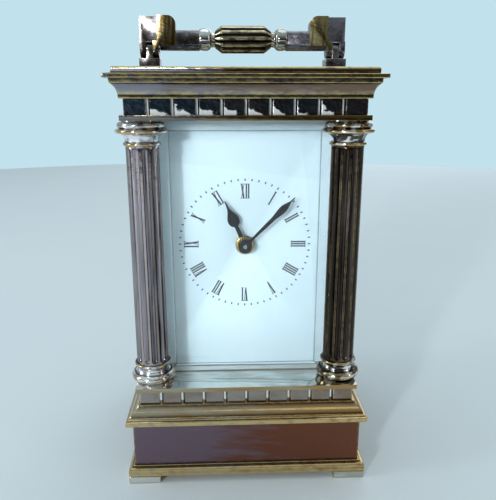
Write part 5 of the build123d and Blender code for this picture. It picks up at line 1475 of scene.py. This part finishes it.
@dataclass
class Dial:
    """Enamel dial with its numerals, its minute track and both hands."""

    front_y: float = -10.5
    centre_z: float = 57.0
    numeral_inner: float = 11.4
    numeral_outer: float = 15.0
    serif: float = 0.13
    hour_hand_y: float = -11.85
    track_radius: float = 15.95
    mark_length: float = 0.64
    mark_width: float = 0.36
    ink_height: float = 0.025

    def bar(self, draft: Draft, outline: list[Point2], turn: float) -> None:
        """One inked stroke on the dial.

        Args:
            draft: The mesh that it is drawn into.
            outline: Corners (across, up from the numeral's foot).
            turn: The numeral's clock angle in radians.
        """
        rings = []
        for y in (self.front_y, self.front_y - self.ink_height):
            ring = []
            for across, up in outline:
                radius = self.numeral_inner + up
                x = radius * math.sin(turn) + across * math.cos(turn)
                z = radius * math.cos(turn) - across * math.sin(turn)
                ring.append(draft.point((x, y, self.centre_z + z)))
            rings.append(ring)
        draft.skin(rings)
        draft.faces += [tuple(rings[1]), tuple(rings[0])]

    def numeral(self, draft: Draft, text: str, hour: int) -> None:
        """Draw one Roman numeral with its foot to the middle of the dial.

        Args:
            draft: The mesh that it is drawn into.
            text: The numeral.
            hour: Its place on the dial.
        """
        tall = self.numeral_outer - self.numeral_inner
        turn = math.radians(30 * hour)
        left = -sum(LETTERS[name].width for name in text) / 2
        for letter in (LETTERS[name] for name in text):
            middle = left + letter.width / 2
            for stroke in letter.strokes:
                outline = [(middle + x, z) for x, z in zip(stroke, (0, 0, tall, tall))]
                self.bar(draft, outline, turn)
            for serifs, low in ((letter.feet, 0.0), (letter.heads, tall - self.serif)):
                high = low + self.serif
                for start, end in serifs:
                    x0, x1 = middle + start, middle + end
                    self.bar(draft, [(x0, low), (x1, low), (x1, high), (x0, high)], turn)
            left += letter.width

    def track(self, palette: Palette) -> None:
        """Sixty small inked dashes round the numerals.

        Args:
            palette: The clock's finishes.
        """
        sizes = {
            "Minutes": 60,
            "Track Radius": self.track_radius,
            "Mark Width": self.mark_width,
            "Mark Length": self.mark_length,
            "Ink Height": self.ink_height,
        }
        nodes = ShapeNodes("minute_track", sizes)
        minutes, radius, width, length, height = list(nodes.inputs)[1:6]
        ring = nodes.add("GeometryNodeMeshCircle", {"Vertices": minutes, "Radius": radius})
        mark = nodes.add("GeometryNodeMeshCylinder", {"Vertices": 12, "Radius": 0.5, "Depth": 1.0})
        size = nodes.add(VECTOR, (length, width, height))
        sized = nodes.add("GeometryNodeTransform", {"Geometry": mark, "Scale": size})
        place = nodes.add("GeometryNodeInputPosition")
        turned = nodes.add("FunctionNodeAlignRotationToVector", {"Vector": place}, axis="X")
        copies = {"Points": ring, "Instance": sized, "Rotation": turned}
        piece = new_piece("minute_track")
        nodes.run(piece, nodes.add("GeometryNodeInstanceOnPoints", copies), palette.track_ink)
        stand = Matrix.Translation((0, (self.front_y - self.ink_height / 2) * MM, self.centre_z * MM))
        piece.data.transform(stand @ Matrix.Rotation(math.radians(90), 4, "X"))
        hand_over(piece, Body.CASE, Slot.ENAMEL)

    def hands(self, palette: Palette) -> None:
        """Both hands and the collet, and the brass bush riveted in the hour hand.

        Args:
            palette: The clock's finishes.
        """
        hour = dressed("hour_hand", "hour_hand_dressed", 0.07)
        hand_over(hour, Body.HOUR, Slot.BLUED, ("hour_hand",), palette.blued)
        draft = Draft()
        rings = [
            draft.circle(radius, 64, lambda x, z: (x, self.hour_hand_y - depth, self.centre_z + z))
            for radius, depth in ((1.2, 0.0), (1.2, 0.05), (1.3, 0.12), (2.1, 0.12), (2.24, 0.05), (2.24, 0.0))
        ]
        draft.skin(rings + rings[:1])
        hand_over(draft.piece("hour_hand_bush"), Body.HOUR, Slot.BRASS, (), palette.gilt)
        for node in ("minute_hand", "hand_collet"):
            hand_over(dressed(node, f"{node}_dressed", 0.07), Body.MINUTE, Slot.BLUED, (node,), palette.blued)

    def build(self, palette: Palette) -> None:
        """Make the dial and its furniture.

        Args:
            palette: The clock's finishes.
        """
        plate = dressed("dial", "dial_enamelled", 0.12)
        hand_over(plate, Body.CASE, Slot.ENAMEL, ("dial",), palette.enamel)
        draft = Draft()
        for hour, text in enumerate("XII I II III IIII V VI VII VIII IX X XI".split()):
            self.numeral(draft, text, hour)
        hand_over(draft.piece("hour_numerals", 30.0), Body.CASE, Slot.ENAMEL, (), palette.ink)
        self.track(palette)
        self.hands(palette)


@dataclass
class Works:
    """The back door and everything between and on the movement plates."""

    brass: str = (
        "front_plate back_plate pillars platform potence train_cock balance_cock barrel_drum barrel_cap "
        "intermediate_wheel centre_wheel third_wheel contrate_wheel minute_wheel hour_wheel balance_wheel"
    )
    steel: str = (
        "barrel_arbor ratchet_wheel click click_spring centre_arbor cannon_pinion escape_wheel "
        "pallet_lever regulator_index case_screws"
    )
    blued: str = "movement_screws hairspring mainspring"
    frame_edge: float = 0.2
    catch_edge: float = 0.12

    def paint(self, nodes: str, finish: Material) -> None:
        """Give CAD nodes the metal that they are made of.

        Args:
            nodes: The nodes' names, parted by spaces.
            finish: Their material.
        """
        for node in nodes.split():
            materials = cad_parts[node].data.materials
            materials.clear()
            materials.append(finish)
            LOG.info("%s: %s", node, finish.name)

    def build(self, palette: Palette) -> None:
        """Make the door's pieces and finish the movement.

        Args:
            palette: The clock's finishes.
        """
        for node, body, bevel in (
            ("door_frame", Body.DOOR, self.frame_edge),
            ("door_catch", Body.CATCH, self.catch_edge),
        ):
            piece = dressed(node, f"{node}_dressed", bevel)
            hand_over(piece, body, Slot.PLATE, (node,), palette.moulding)
        self.paint(self.brass, palette.gilt)
        self.paint(self.steel, palette.steel)
        self.paint(self.blued, palette.blued)


def main() -> None:
    """Build the studio and every sub-assembly, in order."""
    logging.basicConfig(level=logging.INFO, format="%(message)s")
    palette = Palette()
    for part in (Studio(), Mouldings(), Columns(), Glazing(), Handle(), Dial(), Works()):
        part.build(palette)


if __name__ == "__main__":
    main()
